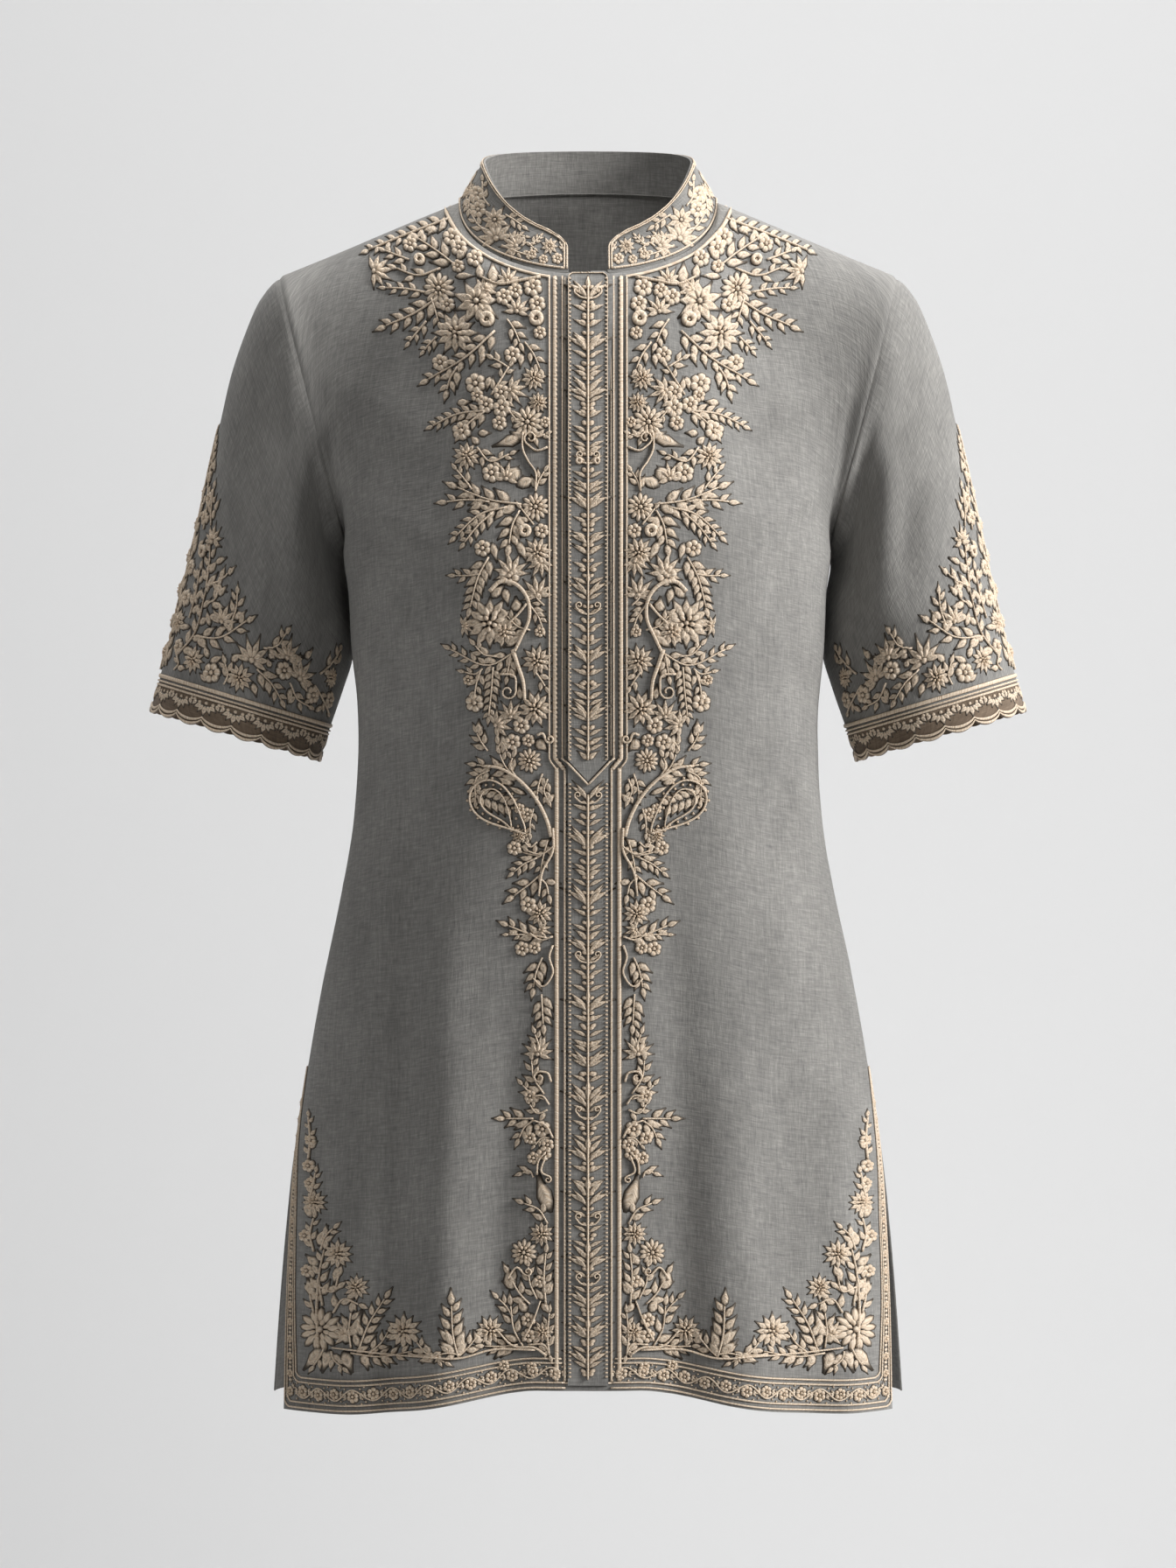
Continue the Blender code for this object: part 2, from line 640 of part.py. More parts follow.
panel_with_slit()
plain_panel()
for side, word in halves:
    rings, normals = sleeves[side]
    tube_wall(f"sleeve_{word}", rings, normals, linen, side)
    last = len(rings) - 1
    cuff_cells = [(last - 3, column) for column in range(rings.shape[1])]
    raised(f"cuff_cord_{word}", rings, normals, cuff_cells, cream_thread, LIFT, CORD_THICK, side > 0)
    steps = SCALLOPS * SCALLOP_STEPS
    trim_turns = np.arange(steps) * 2 / steps
    trim = np.array([sleeve_ring(row, trim_turns) for row in TRIM_RINGS]) * np.array([side, 1, 1])
    arch = 1 - np.abs(np.cos(np.pi * SCALLOPS * trim_turns / 2)) ** SCALLOP_POWER
    down = unit(trim[2] - trim[1])
    trim[2] -= down * (arch * SCALLOP_DEPTH)[:, None]
    closed = np.concatenate([trim[:, -1:], trim, trim[:, :1]], axis=1)
    tube_wall(f"cuff_trim_{word}", trim, grid_normals(closed, -side)[:, 1:-1], trim_lace, side)

collar_inner = collar - collar_n * WALL
collar_places = {(r, c): (collar[r, c], collar_inner[r, c]) for r in range(len(collar)) for c in range(count)}
collar_quads = [tuple(reversed(cell(r, c))) for r in range(len(collar) - 1) for c in range(count - 1)]
make_wall("collar", collar_places, collar_quads, linen)
last_line = len(collar) - 2
border = [(line, column) for line in (0, last_line) for column in range(count - 1)]
border += [(line, column) for line in range(1, last_line) for column in (0, count - 2)]
raised("collar_cord", collar, collar_n, border, cream_thread, LIFT, CORD_THICK, True)

# What lies on the front, by the rows and columns between its trim lines.
point_row = len(HEM_LINES) + len(SKIRT_ROWS) + BODY_ROWS.index(POINT_ROW)
last_column = front.shape[1] - 1


def front_strip(name, cells, finish):
    return raised(name, bare_front, front_n, cells, finish, LIFT, CORD_THICK)


def beside_centre(step, side):
    """The column of cells that many steps out from the centre front."""
    return centre + step if side > 0 else centre - step - 1


def pointed(name, rows, lift, thick, from_top):
    """A strip down the centre whose end at the waist is a point."""
    strip = bare_front.copy()
    down = np.array([0, 0, -POINT_DROP])
    strip[point_row, centre] += down
    if not from_top:
        strip[point_row, centre - 1 : centre + 2] += np.array([0, 0, -POINT_CLEAR])
    cells = [(row, column) for row in rows for column in (centre - 1, centre)]
    return raised(name, strip, front_n, cells, linen, lift, thick)


pointed("placket", range(point_row, front_top), LIFT * 2 + UNDERLAP_THICK, PLACKET_THICK, True)
pointed("centre_band", range(1, point_row), LIFT, PLACKET_THICK, False)

lap_rows = range(front_top - UNDERLAP_ROWS, front_top + 1)
lap_points = np.zeros((len(lap_rows), 3, 3))
lap_normals = np.zeros_like(lap_points)
for number, row in enumerate(lap_rows):
    share = number / (len(lap_rows) - 1)
    reach = UNDERLAP_FOOT + (UNDERLAP_TOP - UNDERLAP_FOOT) * share
    xs = bare_front[row, :, 0]
    for place, x in enumerate((UNDERLAP_EDGE, PLACKET_HALF, reach)):
        lap_points[number, place] = [np.interp(x, xs, bare_front[row, :, axis]) for axis in range(3)]
        lap_normals[number, place] = [np.interp(x, xs, front_n[row, :, axis]) for axis in range(3)]
lap_normals = unit(lap_normals)
lap_cells = [(row, column) for row in range(len(lap_rows) - 1) for column in (0, 1)]
raised("underlap", lap_points, lap_normals, lap_cells, linen, LIFT, UNDERLAP_THICK)

for side, word in halves:
    wide_column = beside_centre(WIDE_CORD_COLUMN, side)
    thin_column = beside_centre(THIN_CORD_COLUMN, side)
    front_strip(f"placket_cord_{word}", [(row, wide_column) for row in range(1, front_top)], cream_thread)
    neck_cells = [(row, thin_column) for row in range(point_row, front_top - 1)]
    for step in range(len(CENTRE_LINES) - 1, neck_columns):
        neck_cells.append((front_top - 2, beside_centre(step, side)))
    front_strip(f"neck_cord_{word}", neck_cells, cream_thread)
    for label, column_step, row in (("outer", 1, 1), ("inner", 3, 3)):
        edge_column = last_column - column_step - 1 if side > 0 else column_step
        vent_row = len(HEM_LINES) + len(SKIRT_ROWS) - 1
        cells = [(r, edge_column) for r in range(row, vent_row)]
        if side > 0:
            inward = range(centre + THIN_CORD_COLUMN, edge_column)
        else:
            inward = range(edge_column + 1, centre - THIN_CORD_COLUMN)
        cells += [(row, column) for column in inward]
        front_strip(f"border_cord_{label}_{word}", cells, cream_thread)

back_cells = [(back_top - 2, back_centre + step) for step in range(-NECK_COLUMNS, NECK_COLUMNS)]
raised("neck_cord_back", back, back_n, back_cells, cream_thread, LIFT, CORD_THICK, True)
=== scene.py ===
# %% [markdown]
# # A short-sleeved kurta tunic
# The tunic is a grey slub linen shell, worn, with no wearer in it. Cream thread is worked over its
# neck, front, cuffs, hem and side slits. It is built in the order in which it is sewn: cloth first,
# then placket, cords and lace, then the raised embroidery. Lengths are in millimetres until a mesh is
# made, then in metres.

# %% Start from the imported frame
import json
import math

import bpy
import numpy as np
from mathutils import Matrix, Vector, noise
from mathutils.bvhtree import BVHTree

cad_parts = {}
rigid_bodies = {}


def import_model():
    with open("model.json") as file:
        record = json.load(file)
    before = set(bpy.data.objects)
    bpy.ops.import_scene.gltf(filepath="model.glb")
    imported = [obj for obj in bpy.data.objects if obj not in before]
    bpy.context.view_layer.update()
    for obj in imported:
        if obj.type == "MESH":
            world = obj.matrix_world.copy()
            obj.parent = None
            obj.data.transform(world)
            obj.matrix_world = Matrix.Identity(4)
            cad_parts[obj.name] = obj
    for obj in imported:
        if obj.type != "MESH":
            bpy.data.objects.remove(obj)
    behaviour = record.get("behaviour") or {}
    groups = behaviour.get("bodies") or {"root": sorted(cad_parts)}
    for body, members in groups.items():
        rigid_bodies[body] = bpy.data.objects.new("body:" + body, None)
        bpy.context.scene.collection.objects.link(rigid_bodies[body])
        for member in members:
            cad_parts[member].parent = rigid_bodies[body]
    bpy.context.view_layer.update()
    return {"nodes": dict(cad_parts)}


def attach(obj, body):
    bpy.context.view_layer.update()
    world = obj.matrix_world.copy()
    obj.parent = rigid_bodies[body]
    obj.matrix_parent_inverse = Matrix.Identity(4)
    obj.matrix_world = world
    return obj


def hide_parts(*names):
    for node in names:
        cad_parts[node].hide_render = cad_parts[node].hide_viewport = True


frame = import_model()
MM = 0.001
# The wearer's two sides: the sign of x and the word in the names of pieces.
SIDES = ((-1, "right"), (1, "left"))
print("CAD nodes:", len(frame["nodes"]))


def named(columns, table):
    """The rows of a table, each with the names of its columns."""
    return [dict(zip(columns, row)) for row in table]


# %% [markdown]
# ## Camera and studio
# The camera stands level with the middle of the tunic, far back with a long lens, so the hem and the
# collar are both seen almost square on. A floor that curves up into a wall has no line behind the
# object. One strong soft light on the right models the folds. Two weak ones fill the left and the
# neck, two light the wall, one stands behind, and a narrow one shines into the neck. The pale world
# adds a little from everywhere.

# %% Camera
CAMERA_AWAY = 3.1
CAMERA_HEIGHT = -0.366
FRAME_HEIGHT = 0.996
SENSOR = 36.0

camera_data = bpy.data.cameras.new("camera")
camera_data.sensor_width = SENSOR
camera_data.sensor_fit = "AUTO"
camera_data.lens = SENSOR * CAMERA_AWAY / FRAME_HEIGHT
camera = bpy.data.objects.new("camera", camera_data)
camera.location = (0, -CAMERA_AWAY, CAMERA_HEIGHT)
camera.rotation_euler = (math.radians(90), 0, 0)
bpy.context.scene.collection.objects.link(camera)
bpy.context.scene.camera = camera
print("lens", round(camera_data.lens, 1), "mm")


# %% Colours and nodes
SURFACE = "Principled BSDF"


def linear(hex_colour):
    """An sRGB hex colour as linear red, green, blue and alpha."""
    parts = [int(hex_colour[i : i + 2], 16) / 255 for i in (1, 3, 5)]
    return [p / 12.92 if p <= 0.04045 else ((p + 0.055) / 1.055) ** 2.4 for p in parts] + [1]


def add_node(tree, kind, links=None, **settings):
    """One new node. Settings name its properties or its sockets' values, and links what its sockets read."""
    node = tree.nodes.new(kind)
    for name, value in settings.items():
        if hasattr(node, name):
            setattr(node, name, value)
        else:
            node.inputs[name.replace("_", " ")].default_value = value
    for name, source in (links or {}).items():
        tree.links.new(source, node.inputs[name])
    return node


def new_finish(name, **surface):
    """A material. Settings name the inputs of its surface shader, with underscores for the spaces."""
    made = bpy.data.materials.new(name)
    made.use_nodes = True
    for socket, value in surface.items():
        made.node_tree.nodes[SURFACE].inputs[socket.replace("_", " ")].default_value = value
    return made


def added(tree, first, second):
    return add_node(tree, "ShaderNodeMath", {0: first, 1: second}, operation="ADD").outputs[0]


def ranged(tree, value, low, high, to_low=0.0, to_high=1.0):
    """A value stretched from one range to another."""
    ends = {"From_Min": low, "From_Max": high, "To_Min": to_low, "To_Max": to_high}
    return add_node(tree, "ShaderNodeMapRange", {"Value": value}, **ends).outputs[0]


def colour_surface(tree, colour, shade, height, strength, depth_mm):
    """Gives the surface a colour multiplied by a second tone, and a fine relief. The tone is the dye's
    patches on linen and painted shade on floss.
    """
    mix = add_node(tree, "ShaderNodeMix", data_type="RGBA", blend_type="MULTIPLY")
    mix.inputs["Factor"].default_value = 1.0
    tree.links.new(colour, mix.inputs[6])
    tree.links.new(shade, mix.inputs[7])
    tree.links.new(mix.outputs[2], tree.nodes[SURFACE].inputs["Base Color"])
    relief = add_node(tree, "ShaderNodeBump", {"Height": height}, Strength=strength, Distance=depth_mm * MM)
    tree.links.new(relief.outputs[0], tree.nodes[SURFACE].inputs["Normal"])


# %% Floor, wall and lights
FLOOR_HEIGHT = -2.7
WALL_BEHIND = 6.6
BEND_RADIUS = 0.7
BEND_STEP = 6
WALL_HEIGHT = 6.3
STUDIO_HALF = 9.0
PAPER_WHITE, AIR_WHITE, AIR_STRENGTH = "#e2e2e2", "#f4f5f6", 0.056

studio_paint = new_finish(
    "matt_studio_paint", Base_Color=linear(PAPER_WHITE), Roughness=0.9, Specular_IOR_Level=0.1
)
bend = [math.radians(a) for a in range(BEND_STEP, 91, BEND_STEP)]
bend_start = WALL_BEHIND - BEND_RADIUS
profile = [(-STUDIO_HALF, 0.0), (bend_start, 0.0)]
profile += [(bend_start + BEND_RADIUS * math.sin(a), BEND_RADIUS * (1 - math.cos(a))) for a in bend]
profile += [(WALL_BEHIND, WALL_HEIGHT)]
corners = [(x, y, z + FLOOR_HEIGHT) for y, z in profile for x in (-STUDIO_HALF, STUDIO_HALF)]
strips = [(2 * i, 2 * i + 1, 2 * i + 3, 2 * i + 2) for i in range(len(profile) - 1)]
studio_mesh = bpy.data.meshes.new("studio")
studio_mesh.from_pydata(corners, [], strips)
studio_mesh.shade_smooth()
studio = bpy.data.objects.new("studio", studio_mesh)
studio_mesh.materials.append(studio_paint)
bpy.context.scene.collection.objects.link(studio)

world = bpy.data.worlds.new("studio_air")
world.use_nodes = True
world.node_tree.nodes["Background"].inputs["Color"].default_value = linear(AIR_WHITE)
world.node_tree.nodes["Background"].inputs["Strength"].default_value = AIR_STRENGTH
bpy.context.scene.world = world
bpy.context.scene.view_settings.view_transform = "Standard"

LIGHT_COLUMNS = ("name", "place", "aim", "size", "power")
LIGHTS = (
    ("key", (3.45, -1.4, 0.95), (0, 0, -0.3), 1.6, 182.0),
    ("fill", (-2.9, -1.3, 0.9), (0, 0, -0.3), 1.8, 20.0),
    ("neck_fill", (0.3, -2.4, 1.9), (0, 0, -0.1), 1.0, 8.0),
    ("backdrop", (0.8, 1.0, 4.0), (0.5, 6.6, -2.1), 3.2, 312.0),
    ("backdrop_low", (0.9, 3.4, -2.45), (0.7, 6.6, -1.5), 0.8, 24.0),
    ("behind", (-1.4, 1.6, 2.4), (0, 0, -0.2), 1.0, 15.0),
)
# A small snooted lamp shines through the neck opening onto the inside of the back and on nothing else.
SNOOT_PLACE, SNOOT_AIM = (0.0, -1.85, 1.088), (0.0, 0.055, -0.012)
SNOOT_POWER, SNOOT_ANGLE, SNOOT_RADIUS = 66.0, math.radians(3.1), 0.02


def hang_lamp(data, place, aim):
    """Puts a lamp in its place, turned towards its aim."""
    lamp = bpy.data.objects.new(data.name, data)
    lamp.location = place
    lamp.rotation_euler = (Vector(aim) - Vector(place)).to_track_quat("-Z", "Y").to_euler()
    bpy.context.scene.collection.objects.link(lamp)


for light in named(LIGHT_COLUMNS, LIGHTS):
    data = bpy.data.lights.new(light["name"], "AREA")
    data.shape = "DISK"
    data.size = light["size"]
    data.energy = light["power"]
    hang_lamp(data, light["place"], light["aim"])
snoot = bpy.data.lights.new("snoot", "SPOT")
snoot.energy = SNOOT_POWER
snoot.spot_size = SNOOT_ANGLE
snoot.spot_blend = 1.0
snoot.shadow_soft_size = SNOOT_RADIUS
hang_lamp(snoot, SNOOT_PLACE, SNOOT_AIM)
print("lights:", len(LIGHTS) + 1)

# %% [markdown]
# ## The worn shape
# A garment on a figure follows rings: at each height the cloth runs round the body as a soft squared
# oval, with its widest place at the side seam. A table gives each ring its half width, its depth in
# front and behind, and where the seam stands. Rows of points read smoothly from that table make the
# panels. The rows above the underarm bend from the top ring to the neck, the shoulder seam and the
# armhole loop.

# %% Named sizes of the tunic
HEM = -755.0
VENT_TOP = -545.0
UNDERARM = -214.0
PLACKET_FOOT = -352.0
HEM_RISE, HEM_FLAT_HALF, HEM_CORNER_X, HEM_RISE_POWER = 18.0, 40.0, 188.0, 1.35
VENT_OPEN = {"front": -10.0, "back": 30.0}
VENT_STEP = {"front": -6.0, "back": 6.0}
VENT_TURN, VENT_POWER = 26.0, 1.3

RING_COLUMNS = ("height", "half_width", "wide_y", "front_y", "back_y", "seam_degrees")
RINGS = (
    (-765, 195.9, 0, -118, 106, 90),
    (-755, 195.5, 0, -118, 106, 90),
    (-700, 193.2, 0, -116.5, 106, 90),
    (-650, 190.2, 0, -115, 106.5, 90),
    (-600, 185.8, -1, -114, 107, 90),
    (-545, 177.5, -2, -113.5, 107.5, 90),
    (-500, 169.8, -3, -113.5, 107, 91),
    (-450, 159.5, -5, -114, 105, 93),
    (-400, 149.6, -8, -115.5, 101, 95),
    (-360, 145.7, -10, -118, 98, 97),
    (-315, 145.4, -12, -123, 96.5, 98),
    (-277, 149.2, -14, -127, 99, 99),
    (-246, 151.0, -14, -128, 101.5, 100),
    (-214, 153.8, -14, -124.5, 104, 100),
    (-190, 145.0, -13, -120, 105.5, 100),
)
RING_POWER = 2.2
RING = dict(zip(RING_COLUMNS, np.array(RINGS, float).T))

BUST_X, BUST_HEIGHT, BUST_PUSH, BUST_WIDTH = 70.0, -240.0, 6.0, 44.0
BUST_ABOVE, BUST_BELOW = 60.0, 120.0
BUST_FADE = (-120.0, -180.0)

NECK_HALF, NECK_SIDE_Y, NECK_FRONT_Y, NECK_BACK_Y = 82.0, 8.0, -64.0, 58.0
NECK_SIDE_Z, NECK_FRONT_Z, NECK_BACK_Z = 5.0, -47.0, 17.0
COLLAR_LEAN, COLLAR_FRONT_Y, COLLAR_BACK_Y = 0.19, -47.0, 51.0
COLLAR_SIDE_Z, COLLAR_FRONT_Z, COLLAR_BACK_Z = 30.0, -23.0, 42.5
NECK_DIP_POWER, COLLAR_DIP_POWER, COLLAR_BACK_POWER = 0.9, 1.8, 0.8
NECK_SHARE = 0.44

YOKE_REACH = 170.0
FRONT_TO_NECK = np.array([0, 78.0, 91.0])
FRONT_TO_SHOULDER = np.array([0, 150.0, 28.0])
BACK_TO_NECK = np.array([0, -52.0, 80.0])
BACK_TO_SHOULDER = np.array([0, -140.0, 36.0])
ARMHOLE_POWER = 5
EVEN_REACH, EVEN_WIDE, EVEN_FADE = 0.12, 0.17, 0.25
EVEN_PARTS = ((-1.0, 1), (-0.5, 2), (0.0, 3), (0.5, 2), (1.0, 1))
SHOULDER_TIP = np.array([197.0, 5.0, -44.0])
ARMHOLE_FRONT, ARMHOLE_BACK = 52.0, 50.0

SLEEVE_COLUMNS = ("outer_x", "outer_z", "inner_x", "inner_z", "middle_y", "front", "back")
SLEEVE_RINGS = (
    (209.0, -58, 154.4, -227, 10, 52.5, 50),
    (219.5, -82, 152.6, -240, 13, 53, 50.5),
    (228.5, -109, 150.4, -255, 15, 54, 51),
    (236.5, -144, 149.6, -270, 16, 55, 52),
    (246.0, -187, 150.4, -286, 15, 56, 53.5),
    (256.0, -231, 155.5, -303, 12, 57, 55),
    (266.5, -275, 161.0, -320, 9, 57, 56.5),
    (272.9, -301.0, 165.4, -333, 8, 57.5, 57.3),
)
LACE_RINGS = (
    (272.9, -301.0, 165.4, -333, 8, 57.6, 57.4),
    (275.7, -310.0, 168.0, -342.0, 7.5, 58, 57.8),
    (278.4, -320.5, 171.2, -352.0, 7, 58.6, 58.4),
)
PLACKET_HALF = 12.3


# %% Curves through the tables
def smooth_curve(places, values, at):
    """A smooth curve through the values of a table, read at other places."""
    at = np.asarray(at, float)
    slopes = np.gradient(values, places)
    index = np.clip(np.searchsorted(places, at) - 1, 0, len(places) - 2)
    step = places[index + 1] - places[index]
    t = (at - places[index]) / step
    start, end = values[index], values[index + 1]
    return (
        start * (2 * t**3 - 3 * t**2 + 1)
        + slopes[index] * step * (t**3 - 2 * t**2 + t)
        + end * (3 * t**2 - 2 * t**3)
        + slopes[index + 1] * step * (t**3 - t**2)
    )


def ring_value(name, height):
    return smooth_curve(RING["height"], RING[name], height)


def ease(t):
    t = np.clip(t, 0, 1)
    return t * t * (3 - 2 * t)


def unit(vectors):
    return vectors / np.linalg.norm(vectors, axis=-1, keepdims=True)


# %% Main folds, which the solids have too
FOLD_COLUMNS = ("x_top", "z_top", "x_hem", "spread_top", "spread_hem", "push")
FRONT_FOLDS = (
    (-82, -330, -95, 15, 26, 8.0),
    (-122, -380, -148, 11, 17, 4.0),
    (-106, -360, -120, 9, 15, -4.5),
    (-46, -420, -50, 12, 18, -3.0),
    (82, -330, 96, 15, 26, 7.5),
    (52, -360, 56, 10, 20, -5.5),
    (120, -420, 134, 10, 18, -4.0),
    (150, -470, 166, 8, 14, 3.0),
)
FOLD_GROWTH = 1.6
# Tables are read a little past the hem, where this share is one.
PAST_HEM = 1.1
BACK_FOLDS = (
    (-96, -300, -120, 16, 26, 7.0),
    (-50, -330, -58, 14, 24, -5.5),
    (6, -300, 10, 16, 26, 6.0),
    (58, -350, 70, 14, 24, -5.0),
    (104, -320, 132, 14, 24, 6.5),
)


def folds_at(x, z, folds):
    """How far the folds push the cloth out at a place seen from the front."""
    push = np.zeros(np.broadcast(x, z).shape)
    for fold in named(FOLD_COLUMNS, folds):
        down = np.clip((fold["z_top"] - z) / (fold["z_top"] - HEM), 0, PAST_HEM)
        middle = fold["x_top"] + (fold["x_hem"] - fold["x_top"]) * down
        spread = fold["spread_top"] + (fold["spread_hem"] - fold["spread_top"]) * down
        push = push + fold["push"] * ease(down * FOLD_GROWTH) * np.exp(-(((x - middle) / spread) ** 2))
    return push


def bust_at(x, z):
    along = np.where(z > BUST_HEIGHT, (z - BUST_HEIGHT) / BUST_ABOVE, (z - BUST_HEIGHT) / BUST_BELOW)
    return BUST_PUSH * np.exp(-(((np.abs(x) - BUST_X) / BUST_WIDTH) ** 2) - along**2)


# %% Rows below the underarm
def vent_spread(height):
    """How far a vent has opened at a height, from nothing at its top to one at the hem."""
    return np.clip((VENT_TOP - height) / (VENT_TOP - HEM), 0, PAST_HEM) ** VENT_POWER


def seam_angle(height, front):
    """The angle of a panel's side edge. Below the vent's top the front's edge turns forward."""
    turn = VENT_TURN * vent_spread(height) if front else 0
    return np.radians(ring_value("seam_degrees", height) - turn)


def body_ring(height, angle, front):
    """Points of the body's ring, at angles from the centre front, for the panel that they lie on."""
    spread = vent_spread(height)
    panel = "front" if front else "back"
    power = 2 / RING_POWER
    half = ring_value("half_width", height) + VENT_STEP[panel] * spread
    half = half * (np.sin(seam_angle(height, False)) / np.sin(seam_angle(height, front))) ** power
    wide_y = ring_value("wide_y", height) + VENT_OPEN[panel] * spread
    x = half * np.abs(np.sin(angle)) ** power
    ahead = np.cos(angle) > 0
    front_y, back_y = ring_value("front_y", height), ring_value("back_y", height)
    depth = np.where(ahead, wide_y - front_y, back_y - wide_y)
    y = wide_y - np.sign(np.cos(angle)) * depth * np.abs(np.cos(angle)) ** power
    return x, y, height + 0 * x


def panel_angle(share, height, front):
    """Angle of a place that lies a share of the way from the panel's centre to its side."""
    seam = seam_angle(height, front)
    return share * seam if front else math.pi - share * (math.pi - seam)


def dressed(points, side, front):
    """Adds bust and folds, and puts the points on the wearer's left (1) or right (-1)."""
    x, y, z = points
    x = x * side
    fade = np.clip((BUST_FADE[0] - z) / (BUST_FADE[0] - BUST_FADE[1]), 0, 1)
    if front:
        y = y - folds_at(x, z, FRONT_FOLDS) - bust_at(x, z) * fade
    else:
        y = y + folds_at(x, z, BACK_FOLDS)
    return np.stack([x, y, z], -1)


def hem_rise(share, front):
    """The front hem is lowest near its corners and rises to the centre."""
    if not front:
        return 0 * share
    x = HEM_CORNER_X * np.sin(share * math.pi / 2) ** (2 / RING_POWER)
    away = np.clip((x - HEM_FLAT_HALF) / (HEM_CORNER_X - HEM_FLAT_HALF), 0, 1)
    return HEM_RISE * (1 - np.sin(away * math.pi / 2) ** HEM_RISE_POWER)


def skirt_row(level, share, front, side):
    """A row below the underarm. Near the hem it follows the hem's curve, higher up it is level."""
    fade = ease((VENT_TOP - level) / (VENT_TOP - HEM))
    height = level + hem_rise(share, front) * fade
    return dressed(body_ring(height, panel_angle(share, height, front), front), side, front)


# %% Neck, armhole and the rows of the yoke
def neck_point(angle):
    """The neck seam, at an angle from the centre front round to the centre back."""
    ahead = np.cos(angle) > 0
    cosine = np.abs(np.cos(angle))
    x = NECK_HALF * np.sin(angle)
    far_y = np.where(ahead, NECK_FRONT_Y, NECK_BACK_Y)
    y = NECK_SIDE_Y + (far_y - NECK_SIDE_Y) * cosine
    dip = (NECK_FRONT_Z - NECK_SIDE_Z) * cosine**NECK_DIP_POWER
    z = NECK_SIDE_Z + np.where(ahead, dip, (NECK_BACK_Z - NECK_SIDE_Z) * cosine)
    return np.stack([x, y, z], -1)


def collar_top(angle):
    """The collar's upper edge, above the neck point at the same angle."""
    ahead = np.cos(angle) > 0
    cosine = np.abs(np.cos(angle))
    x = NECK_HALF * np.sin(angle) * (1 - COLLAR_LEAN * np.sin(angle) ** 2)
    far_y = np.where(ahead, COLLAR_FRONT_Y, COLLAR_BACK_Y)
    y = NECK_SIDE_Y + (far_y - NECK_SIDE_Y) * cosine
    dip = (COLLAR_FRONT_Z - COLLAR_SIDE_Z) * cosine**COLLAR_DIP_POWER
    rise = (COLLAR_BACK_Z - COLLAR_SIDE_Z) * cosine**COLLAR_BACK_POWER
    z = COLLAR_SIDE_Z + np.where(ahead, dip, rise)
    return np.stack([x, y, z], -1)


def top_edge(share, front):
    """The panel's upper edge: the neck, then the shoulder seam out to its tip."""
    turn = np.clip(share / NECK_SHARE, 0, 1) * math.pi / 2
    neck = neck_point(turn if front else math.pi - turn)
    along = np.clip((share - NECK_SHARE) / (1 - NECK_SHARE), 0, 1)[..., None]
    return neck + (SHOULDER_TIP - neck_point(np.array(math.pi / 2))) * along


def armhole(turn, front):
    """The armhole loop: turn 0 is the underarm, 1 the shoulder tip."""
    angle = (1 - turn) * math.pi
    height = np.array(UNDERARM)
    foot = np.array([v.item() for v in body_ring(height, panel_angle(1.0, height, True), True)])
    middle, half = (SHOULDER_TIP + foot) / 2, (SHOULDER_TIP - foot) / 2
    depth = -ARMHOLE_FRONT if front else ARMHOLE_BACK
    across = np.stack([0 * angle, depth * np.sin(angle), 0 * angle], -1)
    return middle + np.cos(angle)[..., None] * half + across


def blend(t, start, leave, end, arrive):
    """A curve that leaves one point and arrives at another in given directions."""
    return (
        start * (2 * t**3 - 3 * t**2 + 1)
        + leave * (t**3 - 2 * t**2 + t)
        + end * (3 * t**2 - 2 * t**3)
        + arrive * (t**3 - t**2)
    )


def yoke_line(turn, share, front):
    """A line above the underarm, from the centre to the armhole."""

    def at(height):
        height = np.array(height)
        return np.stack(body_ring(height, panel_angle(share, height, front), front), -1)

    start = at(UNDERARM)
    leave = (at(UNDERARM + 2) - at(UNDERARM - 2)) / 4 * YOKE_REACH
    outward = ease(share / NECK_SHARE)[..., None]
    to_neck, to_shoulder = (FRONT_TO_NECK, FRONT_TO_SHOULDER) if front else (BACK_TO_NECK, BACK_TO_SHOULDER)
    arrive = to_neck * (1 - outward) + to_shoulder * outward
    rows = blend(turn, start, leave, top_edge(share, front), arrive)
    edge = armhole(np.array(turn), front) - rows[-1]
    return rows + edge * (share**ARMHOLE_POWER)[..., None]


def yoke_row(turn, share, front, side):
    """A row above the underarm, evened out across the line that comes down from the neck's corner."""
    reach = EVEN_REACH * ease(turn / EVEN_FADE) * ease((1 - turn) / EVEN_FADE)
    reach = reach * np.exp(-(((share - NECK_SHARE) / EVEN_WIDE) ** 2))
    lines = [weight * yoke_line(turn, share + reach * part, front) for part, weight in EVEN_PARTS]
    rows = sum(lines) / sum(weight for _, weight in EVEN_PARTS)
    return dressed((rows[..., 0], rows[..., 1], rows[..., 2]), side, front)
